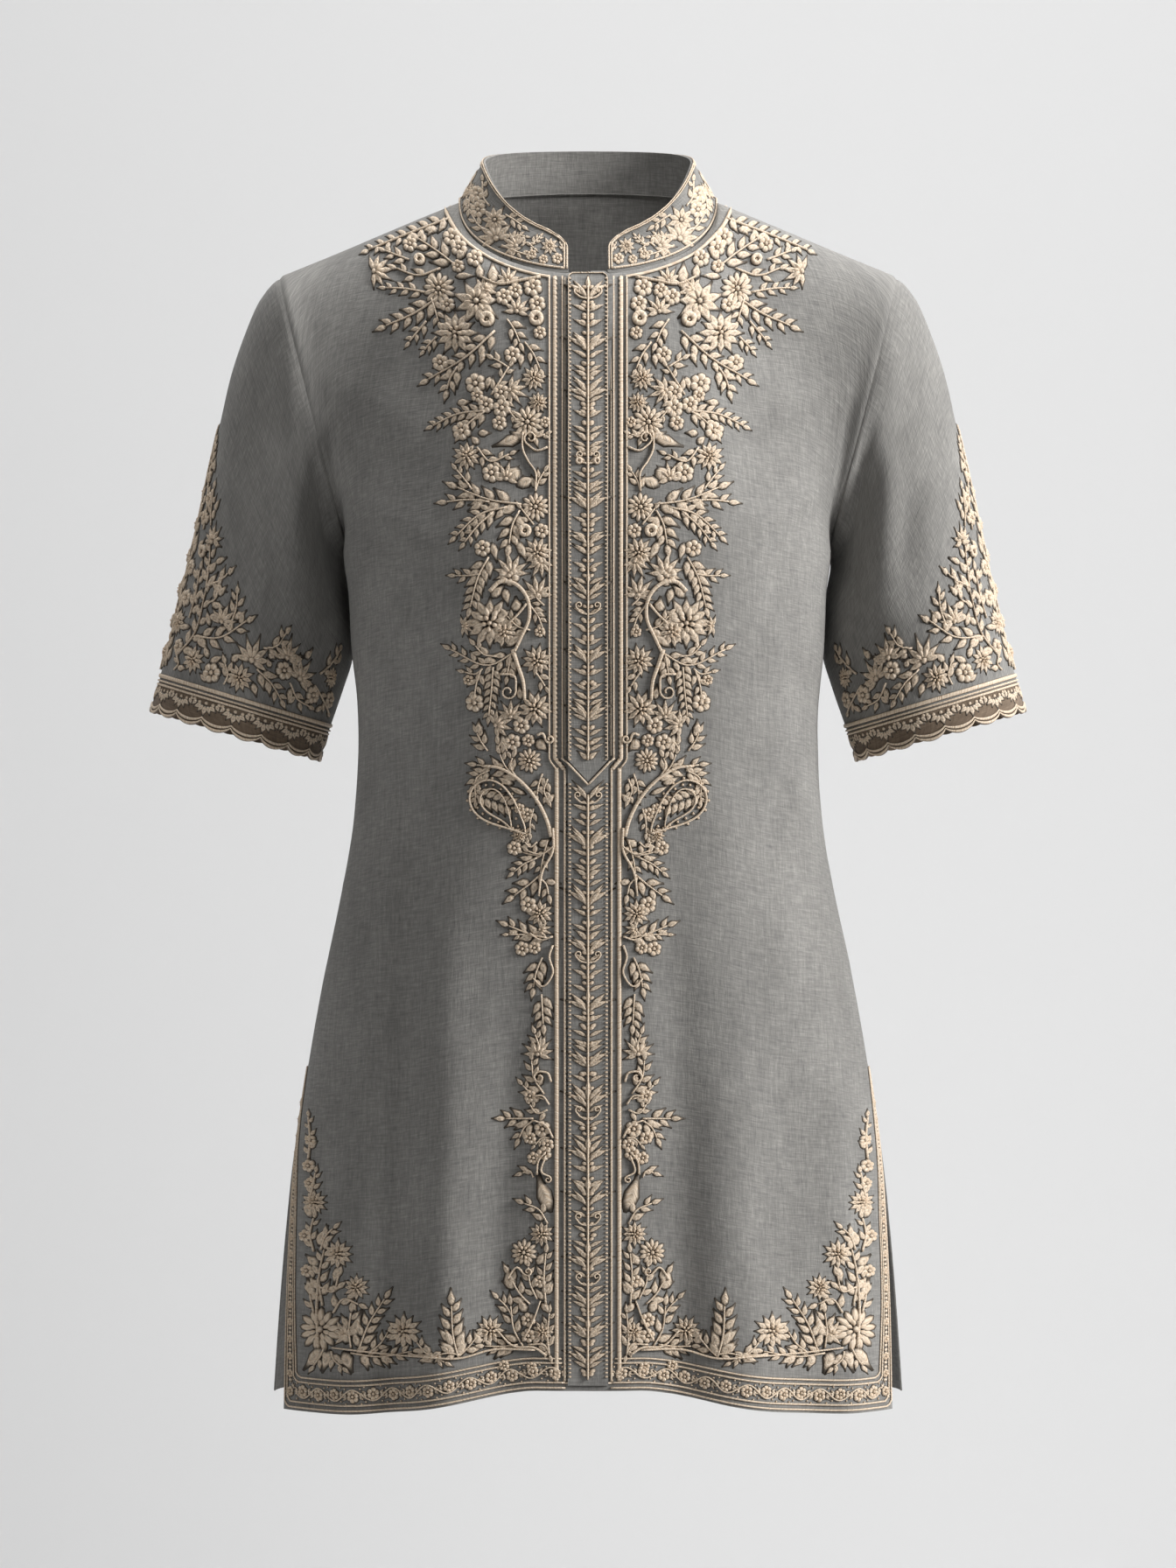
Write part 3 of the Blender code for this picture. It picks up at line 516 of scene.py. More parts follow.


# %% [markdown]
# ## Fine creases
# The rings give the large drape. Cloth that has been worn also has small soft creases: they fan out
# of the underarm, cross the sleeve above the elbow and run down the skirt. Each is one row of a
# table: the two ends and the middle of its path, its width and its height, below zero for a
# trough. A crease fades to nothing at its ends, and no two are alike. The back gets its own, of
# the same kind.

# %% Creases
CREASE_COLUMNS = ("x1", "z1", "x2", "z2", "x3", "z3", "width", "height")
FRONT_CREASES = (
    (-178, -98, -140, -128, -96, -146, 13, 1.7),
    (-168, -132, -132, -160, -92, -172, 9, -1.5),
    (-150, -196, -122, -224, -104, -262, 8, -2.0),
    (-148, -186, -116, -206, -86, -228, 10, 1.6),
    (-144, -232, -116, -262, -98, -306, 7, 1.5),
    (-146, -250, -124, -282, -112, -330, 6, -1.4),
    (-140, -300, -112, -330, -92, -384, 10, 1.3),
    (-142, -352, -120, -372, -104, -420, 8, -1.2),
    (-132, -400, -128, -470, -134, -560, 9, 1.3),
    (-152, -430, -156, -520, -166, -640, 10, -1.5),
    (-64, -400, -60, -500, -66, -640, 12, 1.1),
    (-92, -520, -98, -620, -100, -735, 8, -1.3),
    (-150, -560, -152, -640, -158, -742, 7, 1.3),
    (-38, -560, -40, -640, -46, -732, 9, 1.1),
    (178, -90, 146, -118, 110, -130, 12, 1.5),
    (166, -128, 128, -150, 92, -156, 9, -1.3),
    (152, -190, 126, -216, 112, -262, 8, -1.9),
    (148, -178, 118, -196, 92, -208, 10, 1.4),
    (142, -226, 122, -256, 112, -312, 7, 1.6),
    (146, -262, 132, -292, 122, -336, 6, -1.5),
    (142, -300, 118, -336, 104, -380, 9, 1.2),
    (140, -346, 124, -366, 112, -412, 8, -1.3),
    (132, -402, 136, -470, 146, -552, 9, -1.4),
    (84, -420, 84, -520, 90, -640, 12, -1.2),
    (112, -430, 122, -520, 130, -620, 9, 1.3),
    (160, -480, 168, -560, 176, -660, 9, -1.3),
    (54, -500, 52, -600, 48, -712, 10, 1.1),
    (128, -600, 134, -680, 132, -744, 8, 1.2),
    (88, -640, 90, -690, 86, -742, 7, -1.1),
)
BACK_CREASES = (
    (-172, -92, -132, -112, -84, -112, 13, 1.6),
    (-160, -140, -124, -168, -80, -176, 10, -1.6),
    (-148, -196, -120, -222, -98, -266, 8, -1.9),
    (-146, -236, -120, -262, -104, -318, 8, 1.5),
    (-138, -306, -100, -330, -60, -334, 9, 1.5),
    (-132, -330, -88, -352, -40, -348, 7, -1.4),
    (-128, -380, -124, -470, -132, -580, 10, 1.3),
    (-84, -420, -88, -540, -90, -680, 11, -1.4),
    (-28, -440, -30, -540, -36, -690, 10, 1.3),
    (170, -86, 128, -104, 78, -104, 13, 1.6),
    (158, -136, 122, -160, 84, -164, 10, -1.5),
    (148, -192, 118, -214, 102, -258, 8, -2.0),
    (146, -230, 122, -262, 110, -322, 7, 1.5),
    (136, -310, 96, -338, 52, -336, 9, 1.4),
    (130, -336, 86, -360, 38, -352, 7, -1.3),
    (126, -392, 128, -480, 138, -590, 10, -1.3),
    (82, -430, 86, -540, 92, -690, 11, 1.4),
    (32, -470, 34, -560, 42, -700, 10, -1.2),
    (158, -520, 164, -600, 168, -720, 9, 1.2),
    (-156, -540, -162, -620, -170, -728, 9, -1.3),
)
SLEEVE_FRONT_CREASES = (
    (205, -88, 188, -108, 184, -146, 12, 1.6),
    (222, -110, 200, -128, 190, -176, 10, -1.7),
    (170, -112, 164, -180, 168, -250, 15, -8.5),
    (184, -132, 184, -200, 190, -272, 13, 3.2),
    (166, -132, 176, -168, 170, -214, 9, -1.2),
    (182, -152, 190, -190, 182, -236, 9, 1.7),
    (158, -196, 172, -226, 178, -268, 8, 1.8),
    (154, -226, 170, -250, 184, -296, 7, -1.8),
    (160, -262, 176, -276, 196, -310, 8, 1.5),
    (238, -160, 218, -186, 206, -232, 10, 1.5),
    (246, -206, 226, -232, 214, -282, 9, -1.4),
    (206, -176, 198, -214, 202, -262, 9, -1.3),
    (228, -246, 216, -270, 218, -306, 8, 1.2),
)
SLEEVE_BACK_CREASES = (
    (206, -84, 190, -110, 188, -150, 12, 1.5),
    (220, -116, 198, -136, 188, -186, 10, -1.6),
    (164, -140, 178, -176, 172, -222, 9, -1.8),
    (184, -156, 194, -196, 190, -246, 10, 1.6),
    (156, -206, 172, -236, 182, -282, 8, 1.7),
    (158, -246, 176, -266, 192, -304, 7, -1.6),
    (240, -170, 222, -200, 210, -250, 10, -1.4),
    (248, -226, 230, -250, 222, -296, 9, 1.3),
)
CREASE_STEPS, CREASE_FADE = 14, 0.7


def creases_at(x, z, creases, mirror=1):
    """The height that the creases add at each place, read in the front view."""
    total = np.zeros(x.shape)
    for crease in named(CREASE_COLUMNS, creases):
        ends = np.array([[crease[f"x{n}"] * mirror, crease[f"z{n}"]] for n in (1, 2, 3)])
        t = np.linspace(0, 1, CREASE_STEPS)[:, None]
        bow = 2 * ends[1] - (ends[0] + ends[2]) / 2
        path = ends[0] * (1 - t) ** 2 + bow * 2 * t * (1 - t) + ends[2] * t**2
        nearest = np.full(x.shape, np.inf)
        reach = np.zeros(x.shape)
        for step in range(CREASE_STEPS - 1):
            start, span = path[step], path[step + 1] - path[step]
            dot = (x - start[0]) * span[0] + (z - start[1]) * span[1]
            along = np.clip(dot / (span @ span), 0, 1)
            away = np.hypot(x - start[0] - along * span[0], z - start[1] - along * span[1])
            closer = away < nearest
            nearest = np.where(closer, away, nearest)
            reach = np.where(closer, (step + along) / (CREASE_STEPS - 1), reach)
        across = np.exp(-((nearest / crease["width"]) ** 2))
        total += crease["height"] * across * np.sin(np.pi * reach) ** CREASE_FADE
    return total


# %% Handling marks, the small unevenness of washed linen
RUMPLE_SIZE, RUMPLE_LONGER, RUMPLE_HEIGHT = 46.0, 1.8, 1.1
PUCKER_SIZE, PUCKER_LONGER, PUCKER_HEIGHT = 17.0, 1.5, 0.28
FRONT_SEED, BACK_SEED, SLEEVE_SEED = 3.0, 11.0, 5.0


def rumple(points, seed):
    """Small soft unevenness, longer down the cloth than across it."""
    heights = np.empty(points.shape[:-1])
    for place in np.ndindex(heights.shape):
        x, y, z = points[place]
        large = Vector((x / RUMPLE_SIZE + seed, y / RUMPLE_SIZE, z / RUMPLE_SIZE / RUMPLE_LONGER))
        small = Vector((x / PUCKER_SIZE + seed, y / PUCKER_SIZE, z / PUCKER_SIZE / PUCKER_LONGER))
        heights[place] = noise.noise(large) * RUMPLE_HEIGHT + noise.noise(small) * PUCKER_HEIGHT
    return heights


# %% [markdown]
# ## Cloth panels
# Each panel is one grid of points, about 3 mm apart, read from the rings. The rows run from the hem
# to the neck and the columns from side to side, so the grid lies as the warp and the weft do, and its
# own distances serve as the UV map of the weave. Beside a seam the lines are closer, because the
# cloth dips into it there. A Solidify modifier turns the grid into a wall of real thickness.

# %% Lines of the panel grids
CLOTH_THICK = 0.9
ROW_STEP = 4.3
HEM_ROWS = (0.0, 0.8, 2.0, 3.6)
TOP_TURNS = (0.972, 0.984, 0.992, 0.997, 1.0)
SIDE_ROWS = (5.2, 3.0, 1.4, 0.5, 0.0)
NECK_COLUMNS = 27
SHOULDER_COLUMNS = 31
YOKE_STEPS = 50
SEAM_DIP = 1.7
SEAM_DIP_REACH = 1.9
FOLD_CLEAR, VENT_FADE = 13.0, 6.0
FIRST_EVEN_ROW = 7.0
DENSE_LINE = 321

even_levels = np.arange(HEM + FIRST_EVEN_ROW, UNDERARM - 1, ROW_STEP)
skirt_levels = np.concatenate([HEM + np.array(HEM_ROWS), even_levels, [UNDERARM]])
yoke_turns = np.concatenate([np.linspace(0, TOP_TURNS[0], YOKE_STEPS)[1:], TOP_TURNS[1:]])
print("rows:", len(skirt_levels), "below and", len(yoke_turns), "above the underarm")


def place_columns(line, shares):
    """Reads a dense line at even distances, closer together beside the side seam."""
    steps = np.linalg.norm(np.diff(line, axis=0), axis=1)
    length = np.concatenate([[0], np.cumsum(steps)])
    shoulder = np.interp(NECK_SHARE, shares, length)
    stops = np.concatenate(
        [
            np.linspace(0, shoulder, NECK_COLUMNS + 1),
            np.linspace(shoulder, length[-1] - SIDE_ROWS[0], SHOULDER_COLUMNS + 1)[1:],
            length[-1] - np.array(SIDE_ROWS[1:]),
        ]
    )
    return np.stack([np.interp(stops, length, line[:, axis]) for axis in range(3)], -1)


def panel_grid(front):
    """Points of a whole panel, rows from the hem up and columns from the wearer's right to left."""
    shares = np.linspace(0, 1, DENSE_LINE)
    halves = []
    for side in (-1, 1):
        lines = [skirt_row(level, shares, front, side) for level in skirt_levels]
        lines += [yoke_row(turn, shares, front, side) for turn in yoke_turns]
        halves.append(np.array([place_columns(line, shares) for line in lines]))
    return np.concatenate([halves[0][:, :0:-1], halves[1]], axis=1)


# %% Grid measures: normals, distances and the dip beside a seam
def grid_normals(points, outward):
    """Normals of a grid of rows and columns, turned to the side that outward gives."""
    return unit(np.cross(np.gradient(points, axis=1), np.gradient(points, axis=0))) * outward


def distances(points, axis):
    """How far each point lies from the first, along the rows (0) or the columns (1) of a grid."""
    steps = np.linalg.norm(np.diff(points, axis=axis), axis=-1)
    first = np.zeros_like(np.take(steps, [0], axis))
    return np.concatenate([first, np.cumsum(steps, axis=axis)], axis=axis)


def seam_dip(away):
    return -SEAM_DIP * np.exp(-((away / SEAM_DIP_REACH) ** 2))


def formed_panel(front, seed):
    """A panel with its creases, its rumples and the dip along its seams."""
    points = panel_grid(front)
    normals = grid_normals(points, 1 if front else -1)
    across = distances(points, 1)
    side_away = np.minimum(across, across[:, -1:] - across)
    up = distances(points, 0)
    top_away = up[-1:] - up
    creases = creases_at(points[..., 0], points[..., 2], FRONT_CREASES if front else BACK_CREASES)
    relief = creases * ease(side_away / FOLD_CLEAR) * ease(top_away / FOLD_CLEAR)
    relief += rumple(points, seed) * ease(side_away / FOLD_CLEAR) * ease(top_away / FOLD_CLEAR)
    above_vent = ease((points[..., 2] - VENT_TOP) / VENT_FADE)
    relief += seam_dip(side_away) * above_vent + seam_dip(top_away)
    shaped = points + normals * relief[..., None]
    centre = points.shape[1] // 2
    return shaped, across - across[:, centre : centre + 1], up


front, front_u, front_v = formed_panel(True, FRONT_SEED)
back, back_u, back_v = formed_panel(False, BACK_SEED)
print("front panel", front.shape[:2], "and", round(float(np.ptp(front_u[0]))), "mm wide along its hem")


# %% From a grid to a sewn piece
SMOOTH_BELOW = 50


def write_uv(mesh, name, uv):
    """A UV map, from one place for each point of the mesh."""
    corners = np.empty(len(mesh.loops), np.int32)
    mesh.loops.foreach_get("vertex_index", corners)
    layer = mesh.uv_layers.new(name=name)
    layer.data.foreach_set("uv", np.asarray(uv)[corners].ravel().astype(np.float32))


def link_mesh(name, points_mm, faces, uv=None):
    """A mesh object from points in millimetres. A UV map is in millimetres of cloth."""
    mesh = bpy.data.meshes.new(name)
    mesh.from_pydata((np.asarray(points_mm) * MM).tolist(), [], faces)
    mesh.validate()
    if uv is not None:
        write_uv(mesh, "cloth_mm", uv)
    mesh.shade_smooth()
    made = bpy.data.objects.new(name, mesh)
    bpy.context.scene.collection.objects.link(made)
    return made


def pick(piece):
    """Leaves only this piece selected and active."""
    bpy.ops.object.select_all(action="DESELECT")
    piece.select_set(True)
    bpy.context.view_layer.objects.active = piece


def thicken(piece, thick_mm):
    """A wall inwards from the outer face, closed at its edges."""
    pick(piece)
    wall = piece.modifiers.new("wall", "SOLIDIFY")
    wall.thickness = thick_mm * MM
    wall.offset = -1
    wall.use_even_offset = False
    bpy.ops.object.modifier_apply(modifier=wall.name)
    bpy.ops.object.shade_smooth_by_angle(angle=math.radians(SMOOTH_BELOW))


def grid_faces(rows, columns, turned, joined=False):
    """Quads of a grid, seen from outside. A joined grid's last column meets its first."""
    last = columns if joined else columns - 1
    faces = []
    for r in range(rows - 1):
        for c in range(last):
            d = (c + 1) % columns
            quad = (r * columns + c, r * columns + d, (r + 1) * columns + d, (r + 1) * columns + c)
            faces.append(quad[::-1] if turned else quad)
    return faces


def finish_piece(piece, material, slot, *nodes):
    """Gives a piece its material and its body, and hides the CAD nodes that it stands for. The slot is not
    used.
    """
    piece.data.materials.clear()
    piece.data.materials.append(material)
    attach(piece, "root")
    if nodes:
        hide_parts(*nodes)
    print(piece.name, len(piece.data.polygons), "faces")


# %% [markdown]
# ## Linen, cream thread and lace
# The cloth is a washed slub linen: dull, with thicker places in both directions of the weave and a
# slightly mottled dye. Its UV map is in millimetres, so a thread can have its real scale. The real
# threads are 0.4 mm apart, too fine for the picture, and are drawn 0.8 mm apart. The embroidery is
# lustrous cotton floss laid in satin stitch. It shows as fine lines across each petal and leaf, so
# each motif has a UV map of its own, in millimetres along and across. Shade is painted into the floss
# at its foot and low on its sides, where it meets the cloth, from an attribute of how far it stands out.

# %% Slub linen
LINEN_GREY, LINEN_DEEP, LINEN_PALE = "#8d8b87", "#737170", "#a8a5a0"
THREAD_DRAWN, SLUB_LENGTH, DYE_PATCH = 0.8, 5.5, 44.0
# How much longer and wider than a thread the slubs of each direction are drawn.
WEFT_LONGER, SLUBS_ACROSS, SLUBS_DOWN, DYE_LONGER = 1.4, (3, 2.2), (4, 2.6), 1.6
THREAD_RANGE, DYE_RANGE, DYE_SHADES = (1.25, 2.75), (0.3, 0.7), (0.87, 1.1)
LINEN_BUMP, LINEN_BUMP_DEEP = 0.35, 0.4


def streaks(tree, uv, along_mm, across_mm, turn, detail):
    """Noise drawn out along one direction of the weave."""
    size = (1 / along_mm, 1 / across_mm, 1) if turn else (1 / across_mm, 1 / along_mm, 1)
    stretch = add_node(tree, "ShaderNodeMapping", {"Vector": uv}, Scale=size).outputs[0]
    return add_node(tree, "ShaderNodeTexNoise", {"Vector": stretch}, Scale=1.0, Detail=detail).outputs["Fac"]


def linen_finish(name, grey, deep, pale):
    """Cloth with thicker threads both ways and a slightly mottled dye."""
    made = new_finish(name, Roughness=0.88, Specular_IOR_Level=0.25, Sheen_Weight=0.12, Sheen_Roughness=0.6)
    tree = made.node_tree
    uv = add_node(tree, "ShaderNodeUVMap", uv_map="cloth_mm").outputs[0]
    warp = streaks(tree, uv, SLUB_LENGTH, THREAD_DRAWN, False, 1.0)
    weft = streaks(tree, uv, SLUB_LENGTH * WEFT_LONGER, THREAD_DRAWN, True, 1.0)
    slubs_across = streaks(tree, uv, SLUB_LENGTH * SLUBS_ACROSS[0], THREAD_DRAWN * SLUBS_ACROSS[1], True, 2.0)
    slubs_down = streaks(tree, uv, SLUB_LENGTH * SLUBS_DOWN[0], THREAD_DRAWN * SLUBS_DOWN[1], False, 2.0)
    threads = added(tree, added(tree, warp, weft), added(tree, slubs_across, slubs_down))
    tones = add_node(tree, "ShaderNodeValToRGB", {"Fac": ranged(tree, threads, *THREAD_RANGE)})
    ramp = tones.color_ramp
    ramp.elements[0].color, ramp.elements[1].color = linear(deep), linear(pale)
    ramp.elements.new(0.5).color = linear(grey)
    patch = streaks(tree, uv, DYE_PATCH * DYE_LONGER, DYE_PATCH, False, 3.0)
    dye = ranged(tree, patch, *DYE_RANGE, *DYE_SHADES)
    colour_surface(tree, tones.outputs[0], dye, threads, LINEN_BUMP, LINEN_BUMP_DEEP)
    return made


linen = linen_finish("washed_slub_linen", LINEN_GREY, LINEN_DEEP, LINEN_PALE)

# %% Cream floss in satin stitch
FLOSS_CREAM, FLOSS_DEEP = "#f6e6d1", "#d3b99c"
STITCH_DRAWN, STITCH_SHARE = 1.1, 0.18
# Painted shade: the floss is darkened where it stands low, at its foot and low on its sides, down to a small
# share of its colour.
STRAND_RANGE, FOOT_RANGE, FOOT_PAINTED_SHADE = (0.32, 0.68), (0.22, 0.7), 0.09
FLOSS_BUMP, FLOSS_BUMP_DEEP = 0.6, 0.35


def floss_finish(name, pale, deep, stitch_mm, depth_mm):
    """Thread in fine lines, with painted shade at its foot and low on its sides, where it meets the cloth."""
    made = new_finish(name, Roughness=0.55, Specular_IOR_Level=0.4)
    tree = made.node_tree
    uv = add_node(tree, "ShaderNodeUVMap", uv_map="stitch_mm").outputs[0]
    size = (1 / stitch_mm, STITCH_SHARE / stitch_mm, 1)
    stretch = add_node(tree, "ShaderNodeMapping", {"Vector": uv}, Scale=size).outputs[0]
    strands = add_node(tree, "ShaderNodeTexNoise", {"Vector": stretch}, Scale=1.0, Detail=1.0).outputs["Fac"]
    sharp = ranged(tree, strands, *STRAND_RANGE)
    tones = add_node(tree, "ShaderNodeValToRGB", {"Fac": sharp})
    tones.color_ramp.elements[0].color = linear(deep)
    tones.color_ramp.elements[1].color = linear(pale)
    # Painted shade, read from how far the floss stands out of the cloth.
    foot = add_node(tree, "ShaderNodeAttribute", attribute_name="raised").outputs["Fac"]
    shade = ranged(tree, foot, *FOOT_RANGE, FOOT_PAINTED_SHADE)
    colour_surface(tree, tones.outputs[0], shade, sharp, FLOSS_BUMP, depth_mm)
    return made


floss = floss_finish("cream_satin_floss", FLOSS_CREAM, FLOSS_DEEP, STITCH_DRAWN, FLOSS_BUMP_DEEP)

# %% Front and back panels
SLIT_HALF = 0.4


def panel_uv(u, v):
    return np.stack([u, v], -1).reshape(-1, 2)


def slit_panel(name, points, u, v):
    """The front, cut open at the centre from the neck down to the placket's foot."""
    rows, columns = points.shape[:2]
    centre = columns // 2
    slit_from = int(np.searchsorted(skirt_levels, PLACKET_FOOT)) + 1
    count = rows * columns
    cut = list(range(slit_from, rows))
    extra = {row: count + number for number, row in enumerate(cut)}
    faces = []
    for quad in grid_faces(rows, columns, False):
        column = quad[0] % columns
        if column == centre:
            quad = tuple(extra.get(i // columns, i) if i % columns == centre else i for i in quad)
        faces.append(quad)
    every = np.concatenate([points.reshape(-1, 3), points[cut, centre]])
    every_uv = np.concatenate([panel_uv(u, v), np.stack([u[cut, centre], v[cut, centre]], -1)])
    every[[row * columns + centre for row in cut], 0] -= SLIT_HALF
    every[count:, 0] += SLIT_HALF
    return link_mesh(name, every, faces, every_uv)


front_cloth = slit_panel("front_cloth", front, front_u, front_v)
thicken(front_cloth, CLOTH_THICK)
finish_piece(front_cloth, linen, "linen", "front_panel")

back_faces = grid_faces(*back.shape[:2], True)
back_cloth = link_mesh("back_cloth", back.reshape(-1, 3), back_faces, panel_uv(back_u, back_v))
thicken(back_cloth, CLOTH_THICK)
finish_piece(back_cloth, linen, "linen", "back_panel")


# %% Sleeves
SLEEVE_AROUND = 104
SLEEVE_LENGTHWISE = 78
SLEEVE_START = (0.0, 0.1, 0.3, 0.6)
OTHER_SLEEVE_SLIP = (-4.0, -11.0)
SLEEVE_TURN_FADE, SLEEVE_CREASE_CLEAR, SLEEVE_CUFF_CLEAR, SLEEVE_RUMPLE = 0.14, 30, 8, 0.7
SEAM_MERGE = 0.01
SLEEVE_PASSES = 3


def joined(rows):
    """Closed rings, whose last column is the first again."""
    return np.concatenate([rows, rows[:, :1]], axis=1)


def sleeve_ring(row, turns):
    """A ring of the sleeve. Turns run from the underarm up the front to the shoulder and down the back."""
    values = dict(zip(SLEEVE_COLUMNS, row))
    outer = np.array([values["outer_x"], values["middle_y"], values["outer_z"]])
    inner = np.array([values["inner_x"], values["middle_y"], values["inner_z"]])
    angle = np.pi * (1 - turns)
    depth = np.where(np.sin(angle) > 0, -values["front"], -values["back"]) * np.sin(angle)
    across = np.stack([0 * angle, depth, 0 * angle], -1)
    return (outer + inner) / 2 + np.cos(angle)[..., None] * (outer - inner) / 2 + across


def between_rings(rings, at):
    """Smooth rows between a few rings, each a row of points."""
    flat = rings.reshape(len(rings), -1)
    places = np.arange(len(rings), dtype=float)
    return np.stack([smooth_curve(places, column, at) for column in flat.T], -1).reshape(len(at), -1, 3)


def formed_sleeve(side):
    """A sleeve from the armhole to the cuff's edge, on the wearer's left (1) or right (-1)."""
    turns = np.arange(SLEEVE_AROUND) * 2 / SLEEVE_AROUND
    loop = np.array([armhole(np.array(min(t, 2 - t)), t <= 1) for t in turns])
    rings = np.array([loop] + [sleeve_ring(row, turns) for row in SLEEVE_RINGS])
    at = np.concatenate([SLEEVE_START, np.linspace(1, len(SLEEVE_RINGS), SLEEVE_LENGTHWISE)])
    rows = between_rings(rings, at)
    closed = np.concatenate([rows[:, -1:], rows, rows[:, :1]], axis=1)
    normals = grid_normals(closed, -1)[:, 1:-1]
    slip = OTHER_SLEEVE_SLIP if side < 0 else (0.0, 0.0)
    x, z = rows[..., 0] - slip[0], rows[..., 2] - slip[1]
    in_front, behind = (creases_at(x, z, table) for table in (SLEEVE_FRONT_CREASES, SLEEVE_BACK_CREASES))
    from_edge = np.abs(1 - turns)
    relief = np.where(turns < 1, in_front, behind)
    relief = relief * ease(from_edge / SLEEVE_TURN_FADE) * ease((1 - from_edge) / SLEEVE_TURN_FADE)
    down = distances(rows, 0)
    up = down[-1:] - down
    relief = relief * ease(up / SLEEVE_CREASE_CLEAR) + rumple(rows, SLEEVE_SEED * side) * SLEEVE_RUMPLE
    relief = relief * ease(down / FOLD_CLEAR) * ease(up / SLEEVE_CUFF_CLEAR) + seam_dip(down)
    return (rows + normals * relief[..., None]) * np.array([side, 1, 1]), down


def sewn_tube(name, grid, lengthwise, side):
    """Cloth round the arm. Its first and last columns meet at the underarm, where the UV map starts again."""
    quads = grid_faces(*grid.shape[:2], side > 0)
    piece = link_mesh(name, grid.reshape(-1, 3), quads, panel_uv(distances(grid, 1), lengthwise))
    pick(piece)
    bpy.ops.object.mode_set(mode="EDIT")
    bpy.ops.mesh.select_all(action="SELECT")
    bpy.ops.mesh.remove_doubles(threshold=SEAM_MERGE * MM)
    bpy.ops.object.mode_set(mode="OBJECT")
    return piece


sleeves = {}
for side, word in SIDES:
    rows, down = sleeves[side] = formed_sleeve(side)
    piece = sewn_tube(f"sleeve_cloth_{word}", joined(rows), joined(down), side)
    thicken(piece, CLOTH_THICK)
    finish_piece(piece, linen, "linen", f"sleeve_{word}")

# %% [markdown]
# ## Stand collar
# The collar is two layers of linen with a stiff one between them, so it is smooth and stands by
# itself. It leans in towards the neck, is highest at the back and ends in two rounded corners beside
# the slit. Its foot is tucked into the neck seam.

# %% Collar
COLLAR_AROUND, COLLAR_CROWD = 132, 1.15
COLLAR_UP = 14
COLLAR_THICK = 1.3
COLLAR_CORNER, COLLAR_CORNER_LOW = 17.0, 0.42
COLLAR_TUCK = 0.085


def collar_height(x):
    """The share of its full height that the collar has at a distance from the centre. Its corner is round."""
    away = np.clip((x - PLACKET_HALF) / COLLAR_CORNER, 0, 1)
    return 1 - COLLAR_CORNER_LOW * (1 - np.sqrt(np.clip(1 - (1 - away) ** 2, 0, 1)))


start_angle = math.asin(PLACKET_HALF / NECK_HALF)
half_angles = start_angle + (math.pi - start_angle) * np.linspace(0, 1, COLLAR_AROUND) ** COLLAR_CROWD
base = neck_point(half_angles)
top = collar_top(half_angles)
share = collar_height(np.where(half_angles < math.pi / 2, base[:, 0], np.inf))
collar_lines = np.linspace(-COLLAR_TUCK, 1, COLLAR_UP)
half_collar = np.array([base + (top - base) * (share * line)[:, None] for line in collar_lines])
collar = np.concatenate([half_collar * np.array([-1, 1, 1]), half_collar[:, -2::-1]], axis=1)
collar_normals = grid_normals(collar, -1)
collar_around = distances(collar, 1)
collar_around = collar_around - collar_around[:, collar.shape[1] // 2][:, None]
collar_up = distances(collar, 0)
collar_faces = grid_faces(*collar.shape[:2], True)
collar_uv = panel_uv(collar_around, collar_up)
collar_cloth = link_mesh("collar_cloth", collar.reshape(-1, 3), collar_faces, collar_uv)
thicken(collar_cloth, COLLAR_THICK)
finish_piece(collar_cloth, linen, "linen", "collar")

# %% [markdown]
# ## Where trims lie on the cloth
# Everything sewn on is first laid out flat and then moved onto the cloth. The front is laid out on
# squared paper as it is seen from in front, and each point is carried back along the line of sight
# until it meets the cloth. The sleeve, the collar and the hem turn away from that view, so they are
# read by distance along their own grids.

# %% The front's squared paper
SQUARE = 0.535
PAPER_DEPTH = -118.0
EYE = np.array([0.0, -CAMERA_AWAY / MM, CAMERA_HEIGHT / MM])
EYE_SQUARE = 896.0


def tree_of(points, turned):
    rows, columns = points.shape[:2]
    return BVHTree.FromPolygons(points.reshape(-1, 3).tolist(), grid_faces(rows, columns, turned))


front_tree = tree_of(front, False)


def on_front(across, down, tree=front_tree, depth=PAPER_DEPTH):
    """Cloth points and directions out of it, for squares across from the centre and down the paper.

    A line of sight that passes the cloth takes the nearest place to it, at a depth."""
    found, outward = [], []
    for a, d in zip(np.ravel(across), np.ravel(down)):
        target = np.array([a * SQUARE, PAPER_DEPTH, EYE[2] + (EYE_SQUARE - d) * SQUARE])
        sight = Vector(target - EYE).normalized()
        place, normal, _, _ = tree.ray_cast(Vector(EYE), sight)
        if place is None:
            passing = Vector(EYE) + sight * ((depth - EYE[1]) / sight.y)
            place, normal, _, _ = tree.find_nearest(passing)
        found.append(place)
        outward.append(normal)
    return np.array(found), np.array(outward)


# %% Reading a grid by distance
# A place on the last row or column is read just inside the last cell.
LAST_CELL = 1.001
front_normals = grid_normals(front, 1)
back_normals = grid_normals(back, -1)


def read_grid(grid, row, column):
    """Reads a grid of points between its rows and columns."""
    r = np.clip(row, 0, grid.shape[0] - LAST_CELL)
    c = np.clip(column, 0, grid.shape[1] - LAST_CELL)
    r0, c0 = r.astype(int), c.astype(int)
    fr, fc = (r - r0)[:, None], (c - c0)[:, None]
    low = grid[r0, c0] * (1 - fc) + grid[r0, c0 + 1] * fc
    high = grid[r0 + 1, c0] * (1 - fc) + grid[r0 + 1, c0 + 1] * fc
    return low * (1 - fr) + high * fr


